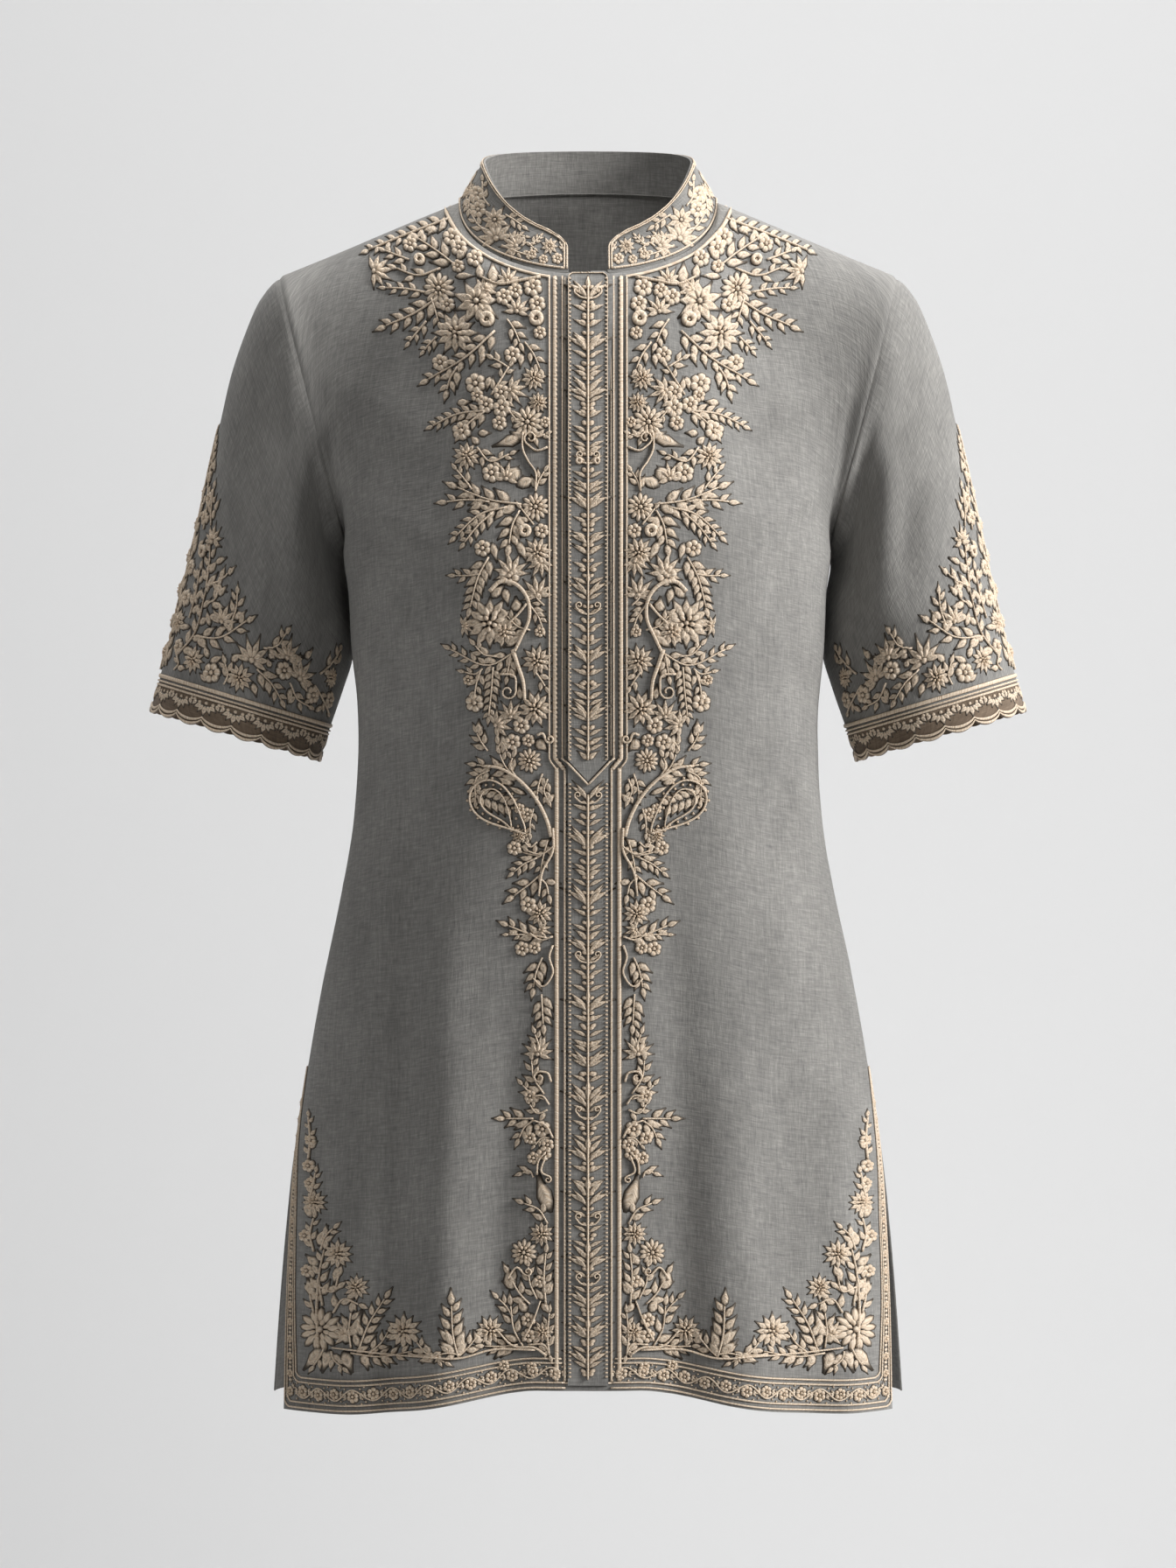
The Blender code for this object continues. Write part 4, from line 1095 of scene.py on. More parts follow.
def on_skirt(inward, up, side):
    """The front skirt, by distance in from its side edge and up from its hem, in millimetres."""
    row = np.interp(HEM + np.ravel(up), skirt_levels, np.arange(len(skirt_levels)))
    columns = np.arange(front.shape[1])
    column = np.empty(len(row))
    for number, (r, away) in enumerate(zip(row.astype(int), np.ravel(inward))):
        reach = front_u[r, -1] - away if side > 0 else front_u[r, 0] + away
        column[number] = np.interp(reach, front_u[r], columns)
    return read_grid(front, row, column), unit(read_grid(front_normals, row, column))


def on_sleeve(around, up, side):
    """A sleeve, by distance round from its outer line, forwards above zero, and up from the cuff's edge."""
    rows, down = sleeves[side]
    closed = joined(rows)
    normals = grid_normals(np.concatenate([rows[:, -1:], closed], axis=1), -side)[:, 1:]
    middle = SLEEVE_AROUND // 2
    half = distances(closed, 1)[:, -1] / 2
    around, up = np.ravel(around), np.ravel(up)
    column = middle - around / half[-1] * middle
    for _ in range(SLEEVE_PASSES):
        nearest = np.clip(np.round(column).astype(int), 0, SLEEVE_AROUND) % SLEEVE_AROUND
        heights = (down[-1:] - down)[:, nearest]
        row = np.array([np.interp(-u, -heights[:, n], np.arange(len(rows))) for n, u in enumerate(up)])
        column = middle - around / np.interp(row, np.arange(len(rows)), half) * middle
    return read_grid(closed, row, column), unit(read_grid(normals, row, column))


def on_collar(along, up, side):
    """The collar, by distance from its front end round towards the back and up from the neck seam."""
    column = np.interp(np.ravel(along), collar_around[0] - collar_around[0, 0], np.arange(collar.shape[1]))
    nearest = np.clip(np.round(column).astype(int), 0, collar.shape[1] - 1)
    row = (np.ravel(up) / collar_up[-1, nearest] + COLLAR_TUCK) / (1 + COLLAR_TUCK) * (COLLAR_UP - 1)
    points, normals = read_grid(collar, row, column), unit(read_grid(collar_normals, row, column))
    flip = np.array([-side, 1, 1])
    return points * flip, normals * flip


print("collar", round(float(collar_around[0, -1] * 2)), "mm round")

# %% [markdown]
# ## Petals, leaves and knots
# Raised embroidery is made of a few shapes: a pointed leaf with a vein, a round petal, a knot and a
# curl of cord. Each is shaped once from a sphere: its lower half is removed, its tip is drawn out and
# its vein pressed in. The copies are then stretched, turned and bent, as a needleworker repeats the
# same stitch at many sizes. The underside is closed, and no copy has more than 31 faces, because
# there are many of them.

# %% Shapes to repeat
# The foot spreads so that the painted shade on it shows as a dark outline round each shape.
FOOT_SPREAD = (1.2, 1.28, 1)


def select_where(piece, test):
    """Selects the vertices that pass a test on their place."""
    bpy.ops.mesh.select_mode(type="VERT")
    bpy.ops.mesh.select_all(action="DESELECT")
    bpy.ops.object.mode_set(mode="OBJECT")
    for vertex in piece.data.vertices:
        vertex.select = bool(test(vertex.co))
    bpy.ops.object.mode_set(mode="EDIT")


def half_dome(segments, rings):
    """The upper half of a sphere, closed below. Its foot spreads, so that the painted shade at its foot shows
    as a dark outline.
    """
    bpy.ops.object.select_all(action="DESELECT")
    bpy.ops.mesh.primitive_uv_sphere_add(segments=segments, ring_count=rings, radius=0.5)
    piece = bpy.context.active_object
    bpy.ops.object.mode_set(mode="EDIT")
    select_where(piece, lambda co: co.z < -0.01)
    bpy.ops.mesh.delete(type="VERT")
    select_where(piece, lambda co: co.z < 0.01)
    bpy.ops.mesh.edge_face_add()
    bpy.ops.transform.resize(value=FOOT_SPREAD, center_override=(0, 0, 0))
    bpy.ops.mesh.select_all(action="SELECT")
    bpy.ops.transform.resize(value=(1, 1, 2))
    bpy.ops.transform.translate(value=(0.5, 0, 0))
    return piece


def from_lowest(face):
    """The same foot, starting at its lowest corner. Smaller faces stay as they are."""
    first = face.index(min(face)) if len(face) > 4 else 0
    return face[first:] + face[:first]


def taken(piece, stitch_along):
    """The shape's points, faces and stitch directions, once it is finished. The object itself isn't kept.

    Blender lists the faces in another order on each run, so they are put in one order here."""
    bpy.ops.object.mode_set(mode="OBJECT")
    points = np.array([v.co for v in piece.data.vertices])
    faces = sorted(from_lowest(tuple(p.vertices)) for p in piece.data.polygons)
    bpy.data.objects.remove(piece)
    return points, faces, stitch_along


def leaf_shape():
    """A pointed leaf, one long and one wide, with a pressed vein. Its stitches slant out from the vein."""
    piece = half_dome(10, 6)
    select_where(piece, lambda co: co.x > 0.7)
    bpy.ops.transform.resize(value=(1, 0.6, 0.9), center_override=(0.7, 0, 0))
    select_where(piece, lambda co: co.x > 0.97)
    bpy.ops.transform.translate(value=(0.2, 0, 0))
    select_where(piece, lambda co: co.x < 0.12)
    bpy.ops.transform.resize(value=(1, 0.6, 0.8), center_override=(0.1, 0, 0))
    select_where(piece, lambda co: abs(co.y) < 0.01 and co.z > 0.3)
    bpy.ops.transform.translate(value=(0, 0, -0.38))
    return taken(piece, False)


def petal_shape():
    """A round petal, narrow where it starts. Its stitches run out along it."""
    piece = half_dome(8, 6)
    select_where(piece, lambda co: co.x < 0.3)
    bpy.ops.transform.resize(value=(1, 0.55, 0.8), center_override=(0.2, 0, 0))
    return taken(piece, True)


def knot_shape():
    """A round knot or bead, centred on its place."""
    piece = half_dome(6, 4)
    bpy.ops.mesh.select_all(action="SELECT")
    bpy.ops.transform.translate(value=(-0.5, 0, 0))
    return taken(piece, True)


LEAF, PETAL, KNOT = leaf_shape(), petal_shape(), knot_shape()
print("leaf", len(LEAF[1]), "petal", len(PETAL[1]), "knot", len(KNOT[1]), "faces")


# %% Laying work out flat
# How far out a point counts, for the painted shade at the floss's foot, is stretched by this gain.
RAISED_GAIN = 1.3
FOOT_BELOW, FOOT_SUNK = 0.02, -0.25
STITCH_SLANT, CORD_TWIST, STEM_TAPER = 0.9, 0.5, 0.72
CURL_TIGHTER, CURL_DEGREES = 0.72, 400
# Across a cord: the share of its half width, the share of its height and how far out of the cloth,
# which sets the painted shade of the floss there.
CORD_RING = ((-1.15, 0.0, 0.0), (-0.72, 0.8, 0.5), (0, 1.0, 1.0), (0.72, 0.8, 0.5), (1.15, 0.0, 0.0))


def lengths_along(path):
    """How far each place of a path lies from its start."""
    return np.concatenate([[0], np.cumsum(np.hypot(*np.diff(path, axis=0).T))])


def place_at(path, far, at):
    """The places at some lengths along a path."""
    return np.stack([np.interp(at, far, path[:, axis]) for axis in (0, 1)], -1)


def toward(degrees):
    """The direction at an angle."""
    return np.array([math.cos(math.radians(degrees)), math.sin(math.radians(degrees))])


def angle_of(way):
    """The angle of a direction, in degrees."""
    return math.degrees(math.atan2(way[1], way[0]))


def square_to(way):
    """The direction a quarter turn on."""
    return np.array([-way[1], way[0]])


class Needlework:
    """Shapes laid out flat, until they are wrapped onto the cloth. The scale is the layout's unit in mm."""

    def __init__(self, scale):
        self.scale = scale
        self.points, self.faces, self.stitches, self.raised = [], [], [], []
        self.count = 0

    def add(self, points, faces, stitches, raised):
        """Points, faces, the stitches' own map and how far each point stands out of the cloth, which sets the
        floss's painted shade.
        """
        self.points.append(points)
        self.raised.append(np.clip(raised * RAISED_GAIN, 0, 1))
        self.stitches.append(stitches)
        self.faces += [tuple(corner + self.count for corner in face) for face in faces]
        self.count += len(points)

    def stamp(self, shape, at, length, width, height, degrees, bend=0.0):
        """One shape, from its foot, turned and bent sideways towards its tip."""
        points, faces, along = shape
        p = points[:, 0] * length
        q = points[:, 1] * width + bend * (points[:, 0] ** 2) * length
        turn = math.radians(degrees)
        place = np.stack(
            [
                at[0] + p * math.cos(turn) - q * math.sin(turn),
                at[1] + p * math.sin(turn) + q * math.cos(turn),
                points[:, 2] * height,
            ],
            -1,
        )
        mm = self.scale
        wide, far = points[:, 1] * width * mm, points[:, 0] * length * mm
        stitches = np.stack([wide, far] if along else [far + np.abs(wide) * STITCH_SLANT, wide], -1)
        self.add(place, faces, stitches, points[:, 2])

    def leaf(self, foot, tip, width, height=1.2, bend=0.0):
        """A leaf from its foot to its tip."""
        foot, tip = np.array(foot, float), np.array(tip, float)
        way = tip - foot
        self.stamp(LEAF, foot, np.hypot(*way), width, height, angle_of(way), bend)

    def stem(self, path, width, height=1.0, curl=0.0):
        """A couched cord along a path, thinner towards its end. Curl rolls that end up, to either side."""
        path = rounded(np.array(path, float))
        if curl:
            path = np.concatenate([path, curled(path, curl)])
        self.cord(path, width * np.linspace(1, STEM_TAPER, len(path)), height)

    def cord(self, path, width, height, dotted=False):
        """A round-backed cord, closed at both ends. A dotted one has dark stitches down its outer edge."""
        path = np.asarray(path, float)
        total, rings = len(path), len(CORD_RING)
        way = np.gradient(path, axis=0)
        side = unit(np.stack([-way[:, 1], way[:, 0]], -1)) * (np.zeros(total) + width)[:, None] / 2
        lines = [(path + side * w, np.full((total, 1), h * height)) for w, h, _ in CORD_RING]
        points = np.concatenate([np.concatenate(line, 1) for line in lines])
        faces = []
        for step in range(total - 1):
            for number in range(rings):
                a, b = number * total + step, (number + 1) % rings * total + step
                faces.append((a, a + 1, b + 1, b))
        faces.append(tuple(number * total for number in range(rings)))
        faces.append(tuple(number * total + total - 1 for number in reversed(range(rings))))
        far = lengths_along(path) * self.scale
        twisted = [np.stack([far + w * CORD_TWIST, far * 0 + w], -1) for w, _, _ in CORD_RING]
        raised = np.array([[out] for _, _, out in CORD_RING]) + np.zeros((1, total))
        if dotted:
            raised[1, ::2] = 0
        self.add(points, faces, np.concatenate(twisted), raised.ravel())


def stepped(path, step):
    """A path of straight stretches, with places close enough together to follow the cloth."""
    path = np.array(path, float)
    far = lengths_along(path)
    return place_at(path, far, np.linspace(0, far[-1], max(2, round(far[-1] / step) + 1)))


def rounded(path, steps=5):
    """A smooth curve through a few places."""
    if len(path) == 2:
        return path[0] + (path[1] - path[0]) * np.linspace(0, 1, 4)[:, None]
    far = lengths_along(path)
    at = np.linspace(0, far[-1], steps * (len(path) - 1) + 1)
    return np.stack([smooth_curve(far, path[:, axis], at) for axis in (0, 1)], -1)


def curled(path, size):
    """A spiral that carries on from the end of a path. Its sign chooses the side."""
    way = unit(path[-1] - path[-2])
    turns = np.linspace(0, 1, 14)[1:]
    side = square_to(way) * math.copysign(1, size)
    radius = abs(size) * (1 - CURL_TIGHTER * turns)
    angle = turns * math.radians(CURL_DEGREES)
    centre = path[-1] + side * abs(size)
    return centre + (np.sin(angle) * radius)[:, None] * way - (np.cos(angle) * radius)[:, None] * side


def wrap(work, name, place_on, mirrored, inside=0.0, high=1.0):
    """Moves laid-out work onto the cloth as one piece, with its heights multiplied by high.

    Inside gives the thickness of cloth that it lies behind."""
    flat = np.concatenate(work.points)
    found, outward = place_on(flat[:, 0], flat[:, 1])
    if inside:
        found, outward, mirrored = found - outward * inside, -outward, not mirrored
    height = np.where(flat[:, 2] < FOOT_BELOW, FOOT_SUNK, flat[:, 2] * high)
    faces = [face[::-1] for face in work.faces] if mirrored else work.faces
    piece = link_mesh(name, found + outward * height[:, None], faces)
    write_uv(piece.data, "stitch_mm", np.concatenate(work.stitches))
    # This attribute sets the painted shade at the floss's foot.
    raised = piece.data.attributes.new("raised", "FLOAT", "POINT")
    raised.data.foreach_set("value", np.concatenate(work.raised).astype(np.float32))
    return piece


def sew(work, name, place_on, mirrored, *nodes, high=1.0):
    """Wraps cream embroidery or cord onto the cloth. It may stand for CAD nodes."""
    finish_piece(wrap(work, name, place_on, mirrored, high=high), floss, "cream_thread", *nodes)


# %% Flowers and sprays
# In every flower the places, lengths and widths of petals are shares of its radius r, and heights are in mm.
# A round of petals: how many, then their start, length, width and height, and for the daisy its first angle.
DAISY_ROUNDS = ((13, 0.2, 0.84, 0.36, 1.2, 9), (8, 0.1, 0.5, 0.26, 1.8, 23))
PEONY_ROUNDS = ((12, 0.26, 0.76, 0.36, 1.1), (8, 0.12, 0.58, 0.28, 1.6), (5, 0.04, 0.38, 0.22, 2.1))


def daisy(work, at, r):
    """A flower with long petals in two rounds and a knotted eye."""
    for petals, start, long, wide, high, shift in DAISY_ROUNDS:
        for number in range(petals):
            turn = 360 * number / petals + shift
            foot = np.array(at) + start * r * toward(turn)
            work.stamp(PETAL, foot, r * (long if number % 2 else long * 0.9), r * wide, high, turn)
    work.stamp(KNOT, at, r * 0.34, r * 0.34, 2.2, 0)


def bloom(work, at, r, degrees=90, petals=9):
    """A wide open flower: broad pointed petals, a smaller one over each gap and a knotted eye."""
    for number in range(petals):
        turn = degrees + 360 * number / petals
        foot = np.array(at) + 0.08 * r * toward(turn)
        work.stamp(LEAF, foot, r * (0.98 if number % 2 else 0.86), r * 0.44, 1.3, turn, 0.05)
        work.stamp(PETAL, foot, r * 0.52, r * 0.22, 1.8, turn + 180 / petals)
    work.stamp(KNOT, at, r * 0.28, r * 0.28, 2.2, 0)


def rosette(work, at, r, petals=6):
    """A small round flower."""
    for number in range(petals):
        turn = 360 * number / petals + 20
        work.stamp(PETAL, np.array(at) + 0.12 * r * toward(turn), r * 0.9, r * 0.95, 1.35, turn)
    work.stamp(KNOT, at, r * 0.55, r * 0.55, 1.9, 0)


def disc(work, at, r):
    """A padded eyelet: a ring of floss round a knot."""
    turns = np.linspace(0, 2 * math.pi, 9)
    ring = [(at[0] + r * 0.62 * math.cos(t), at[1] + r * 0.62 * math.sin(t)) for t in turns]
    work.stem(ring, r * 0.85, 1.5)
    work.stamp(KNOT, at, r * 0.5, r * 0.5, 1.3, 0)


def peony(work, at, r, degrees=90):
    """A full flower: three rounds of narrow petals, each one higher than the round outside it."""
    for petals, start, long, wide, high in PEONY_ROUNDS:
        for number in range(petals):
            turn = degrees + 360 * (number + 0.4 * (petals % 2)) / petals
            foot = np.array(at) + start * r * toward(turn)
            shape = LEAF if petals > 10 else PETAL
            work.stamp(shape, foot, r * long * (1.0 if number % 2 else 0.88), r * wide, high, turn)
    work.stamp(KNOT, at, r * 0.22, r * 0.22, 2.3, 0)


def lotus(work, at, r, degrees, spread=200, petals=7):
    """An open flower seen from the side: pointed petals that fan out from its foot."""
    foot = np.array(at) - 0.5 * r * toward(degrees)
    for number in range(petals):
        off = (number / (petals - 1) - 0.5) * spread
        work.stamp(LEAF, foot, r * (1.5 - 0.35 * abs(off) / (spread / 2)), r * 0.44, 1.2, degrees + off)
    for off in (-36, 0, 36):
        work.stamp(PETAL, foot, r * 0.8, r * 0.34, 1.8, degrees + off)
    work.stamp(KNOT, foot, r * 0.42, r * 0.42, 1.7, 0)


TURNED_KINDS = {"lotus": lotus, "peony": peony, "bloom": bloom}
ROUND_KINDS = {"rosette": rosette, "disc": disc, "daisy": daisy}


def flower(work, kind, at, radius, degrees):
    """One flower of a table. The round kinds look the same at every angle, so they aren't turned."""
    if kind in TURNED_KINDS:
        TURNED_KINDS[kind](work, at, radius, degrees)
    else:
        ROUND_KINDS[kind](work, at, radius)


def spray(work, path, leaf_long, pairs, leaf_wide=0.5, stem=2.4, lean=45):
    """A stem with leaves on both sides and one at its tip. They get shorter towards the tip."""
    line = rounded(np.array(path, float))
    work.stem(path, stem, 0.9)
    far = lengths_along(line)
    for number in range(pairs):
        for way in (1, -1):
            at = far[-1] * (number + 0.55 + 0.22 * way) / (pairs + 0.25)
            foot = place_at(line, far, at)
            turn = angle_of(place_at(line, far, at + 0.5) - foot) + way * lean
            long = leaf_long * (1.05 - 0.4 * at / far[-1])
            work.stamp(LEAF, foot, long, long * leaf_wide, 1.2, turn, -0.12 * way)
    last = line[-1] - line[-2]
    tip = line[-1] - unit(last)
    work.stamp(LEAF, tip, leaf_long * 0.8, leaf_long * leaf_wide * 0.75, 1.2, angle_of(last))


DROP_SIZES = (1.1, 1.0, 0.8, 0.6)


def drop_outline(at, way, long, wide, size):
    """The outline of a curved drop, at a share of its size."""
    t = np.linspace(0, 2 * math.pi, 19)[:-1]
    body = (1 + np.cos(t)) / 2
    p = (body - 0.42) * long * size
    q = np.sin(t) * wide / 2 * size * (1 - body**1.6 * 0.72) * 1.25 + (body**2.4) * wide * 0.5
    return [tuple(np.array(at) + way * a + square_to(way) * b) for a, b in zip(p, q)]


def paisley(work, at, long, wide, degrees):
    """A curved drop: two outlines of cord with a row of knots between them, and leaves inside."""
    way = toward(degrees)
    edge, outer, middle, inner = (drop_outline(at, way, long, wide, size) for size in DROP_SIZES)
    work.stem(outer + outer[:1], 3.0, 1.3)
    work.stem(inner + inner[:1], 2.4, 1.2)
    for places, knot, high in ((edge, 4.2, 1.2), (middle, 4.0, 1.4)):
        for place in places:
            work.stamp(KNOT, place, knot, knot, high, 0)
    for number in range(5):
        foot = np.array(at) + way * long * (0.11 * number - 0.3)
        for out in (1, -1):
            work.stamp(LEAF, foot, wide * 0.38, wide * 0.2, 1.2, degrees + out * 46)


FLOWER_COLUMNS = ("kind", "across", "level", "radius", "degrees")
SPRAY_COLUMNS = ("foot", "middle", "tip", "leaf", "pairs")
LEAF_COLUMNS = ("foot", "tip", "width")


def lay_out(work, place, flowers, sprays, growth=(1.0, 1.0), scale=1.0, stem=2.4, thinned=1.0):
    """The flowers and sprays of two tables, moved to their places and made larger."""
    for row in named(FLOWER_COLUMNS, flowers):
        at = place((row["across"], row["level"]))
        flower(work, row["kind"], at, row["radius"] * growth[0] * scale, row["degrees"])
    for row in named(SPRAY_COLUMNS, sprays):
        path = [place(row[name]) for name in ("foot", "middle", "tip")]
        pairs = max(1, round(row["pairs"] * thinned))
        spray(work, path, row["leaf"] * growth[1] * scale, pairs, stem=stem)


# %% [markdown]
# ## The embroidery's layout
# The flowering vine beside the slit is laid out in short tables, in squares across from the centre
# front and down the paper. Sprays reach outwards, flowers and knots sit between them, and one
# scrolling stem ties them together. One side is laid out, and the other is its mirror image.

# %% Vine: flowers and knots
VINE_FLOWERS = (
    ("lotus", 236, 310, 14, 172),
    ("rosette", 203, 280, 8, 0),
    ("disc", 192, 298, 6, 0),
    ("rosette", 155, 272, 10, 0),
    ("rosette", 147, 284, 9, 0),
    ("rosette", 129, 296, 9, 0),
    ("rosette", 148, 305, 7, 0),
    ("daisy", 170, 331, 17, 0),
    ("bloom", 127, 345, 23, 95),
    ("peony", 151, 381, 22, 90),
    ("rosette", 160, 349, 8, 0),
    ("lotus", 91, 316, 11, 95),
    ("lotus", 113, 330, 12, 160),
    ("rosette", 96, 340, 9, 0),
    ("rosette", 83, 333, 8, 0),
    ("rosette", 63, 329, 10, 0),
    ("rosette", 58, 348, 9, 0),
    ("lotus", 80, 350, 12, 100),
    ("disc", 115, 366, 8, 0),
    ("disc", 59, 365, 8, 0),
    ("rosette", 55, 381, 7, 0),
    ("rosette", 86, 406, 9, 0),
    ("rosette", 168, 415, 9, 0),
    ("peony", 62, 433, 13, 20),
    ("rosette", 128, 439, 11, 0),
    ("rosette", 126, 453, 7, 0),
    ("rosette", 99, 449, 9, 0),
    ("lotus", 82, 449, 13, 200),
    ("rosette", 98, 467, 10, 0),
    ("rosette", 116, 463, 9, 0),
    ("peony", 57, 461, 11, 0),
    ("daisy", 69, 483, 17, 0),
    ("rosette", 49, 483, 6, 0),
    ("rosette", 101, 484, 8, 0),
    ("rosette", 144, 493, 10, 0),
    ("peony", 138, 522, 15, 60),
    ("rosette", 110, 541, 10, 0),
    ("lotus", 92, 541, 12, 100),
    ("daisy", 60, 580, 15, 0),
    ("disc", 72, 607, 7, 0),
    ("rosette", 53, 607, 8, 0),
    ("rosette", 120, 627, 9, 0),
    ("peony", 58, 632, 16, 20),
    ("lotus", 57, 648, 12, 300),
    ("lotus", 89, 647, 15, 80),
    ("rosette", 90, 658, 11, 0),
    ("lotus", 59, 672, 14, 80),
    ("peony", 112, 712, 26, 30),
    ("peony", 96, 722, 16, 10),
    ("lotus", 137, 715, 9, 175),
    ("rosette", 55, 722, 6, 0),
    ("peony", 58, 755, 16, 10),
    ("rosette", 136, 777, 6, 0),
    ("rosette", 129, 803, 10, 0),
    ("peony", 60, 810, 18, 40),
    ("lotus", 98, 826, 13, 160),
    ("lotus", 88, 812, 12, 90),
    ("rosette", 76, 829, 9, 0),
    ("rosette", 86, 848, 9, 0),
    ("rosette", 68, 846, 7, 0),
    ("daisy", 67, 869, 13, 0),
    ("rosette", 69, 930, 7, 0),
    ("rosette", 78, 924, 6, 0),
    ("peony", 78, 955, 9, 150),
    ("rosette", 84, 969, 8, 0),
    ("peony", 55, 1044, 14, 60),
    ("rosette", 68, 1034, 9, 0),
    ("rosette", 75, 1084, 8, 0),
    ("rosette", 61, 1083, 7, 0),
    ("lotus", 50, 1064, 9, 200),
    ("lotus", 56, 1197, 13, 100),
    ("rosette", 66, 1252, 7, 0),
    ("rosette", 52, 1290, 9, 0),
    ("rosette", 66, 1300, 7, 0),
    ("rosette", 46, 1308, 7, 0),
    ("rosette", 62, 1323, 7, 0),
    ("rosette", 50, 1318, 8, 0),
    ("peony", 53, 1410, 13, 0),
    ("daisy", 73, 1431, 14, 0),
    ("rosette", 55, 1464, 7, 0),
    ("rosette", 68, 1508, 8, 0),
    ("peony", 52, 1522, 12, 90),
    ("rosette", 68, 1526, 8, 0),
    ("peony", 112, 1520, 15, 90),
    ("peony", 210, 1521, 18, 0),
    ("daisy", 305, 1519, 22, 0),
    ("peony", 285, 1433, 15, 0),
    ("peony", 264, 1471, 13, 60),
    ("rosette", 322, 1412, 7, 0),
    ("rosette", 320, 1452, 7, 0),
    ("rosette", 64, 1562, 6, 0),
    ("rosette", 96, 1560, 6, 0),
    ("lotus", 280, 1520, 12, 60),
    ("peony", 312, 1374, 13, 0),
    ("rosette", 318, 1332, 7, 0),
    ("rosette", 317, 1352, 6, 0),
    ("rosette", 316, 1303, 6, 0),
)

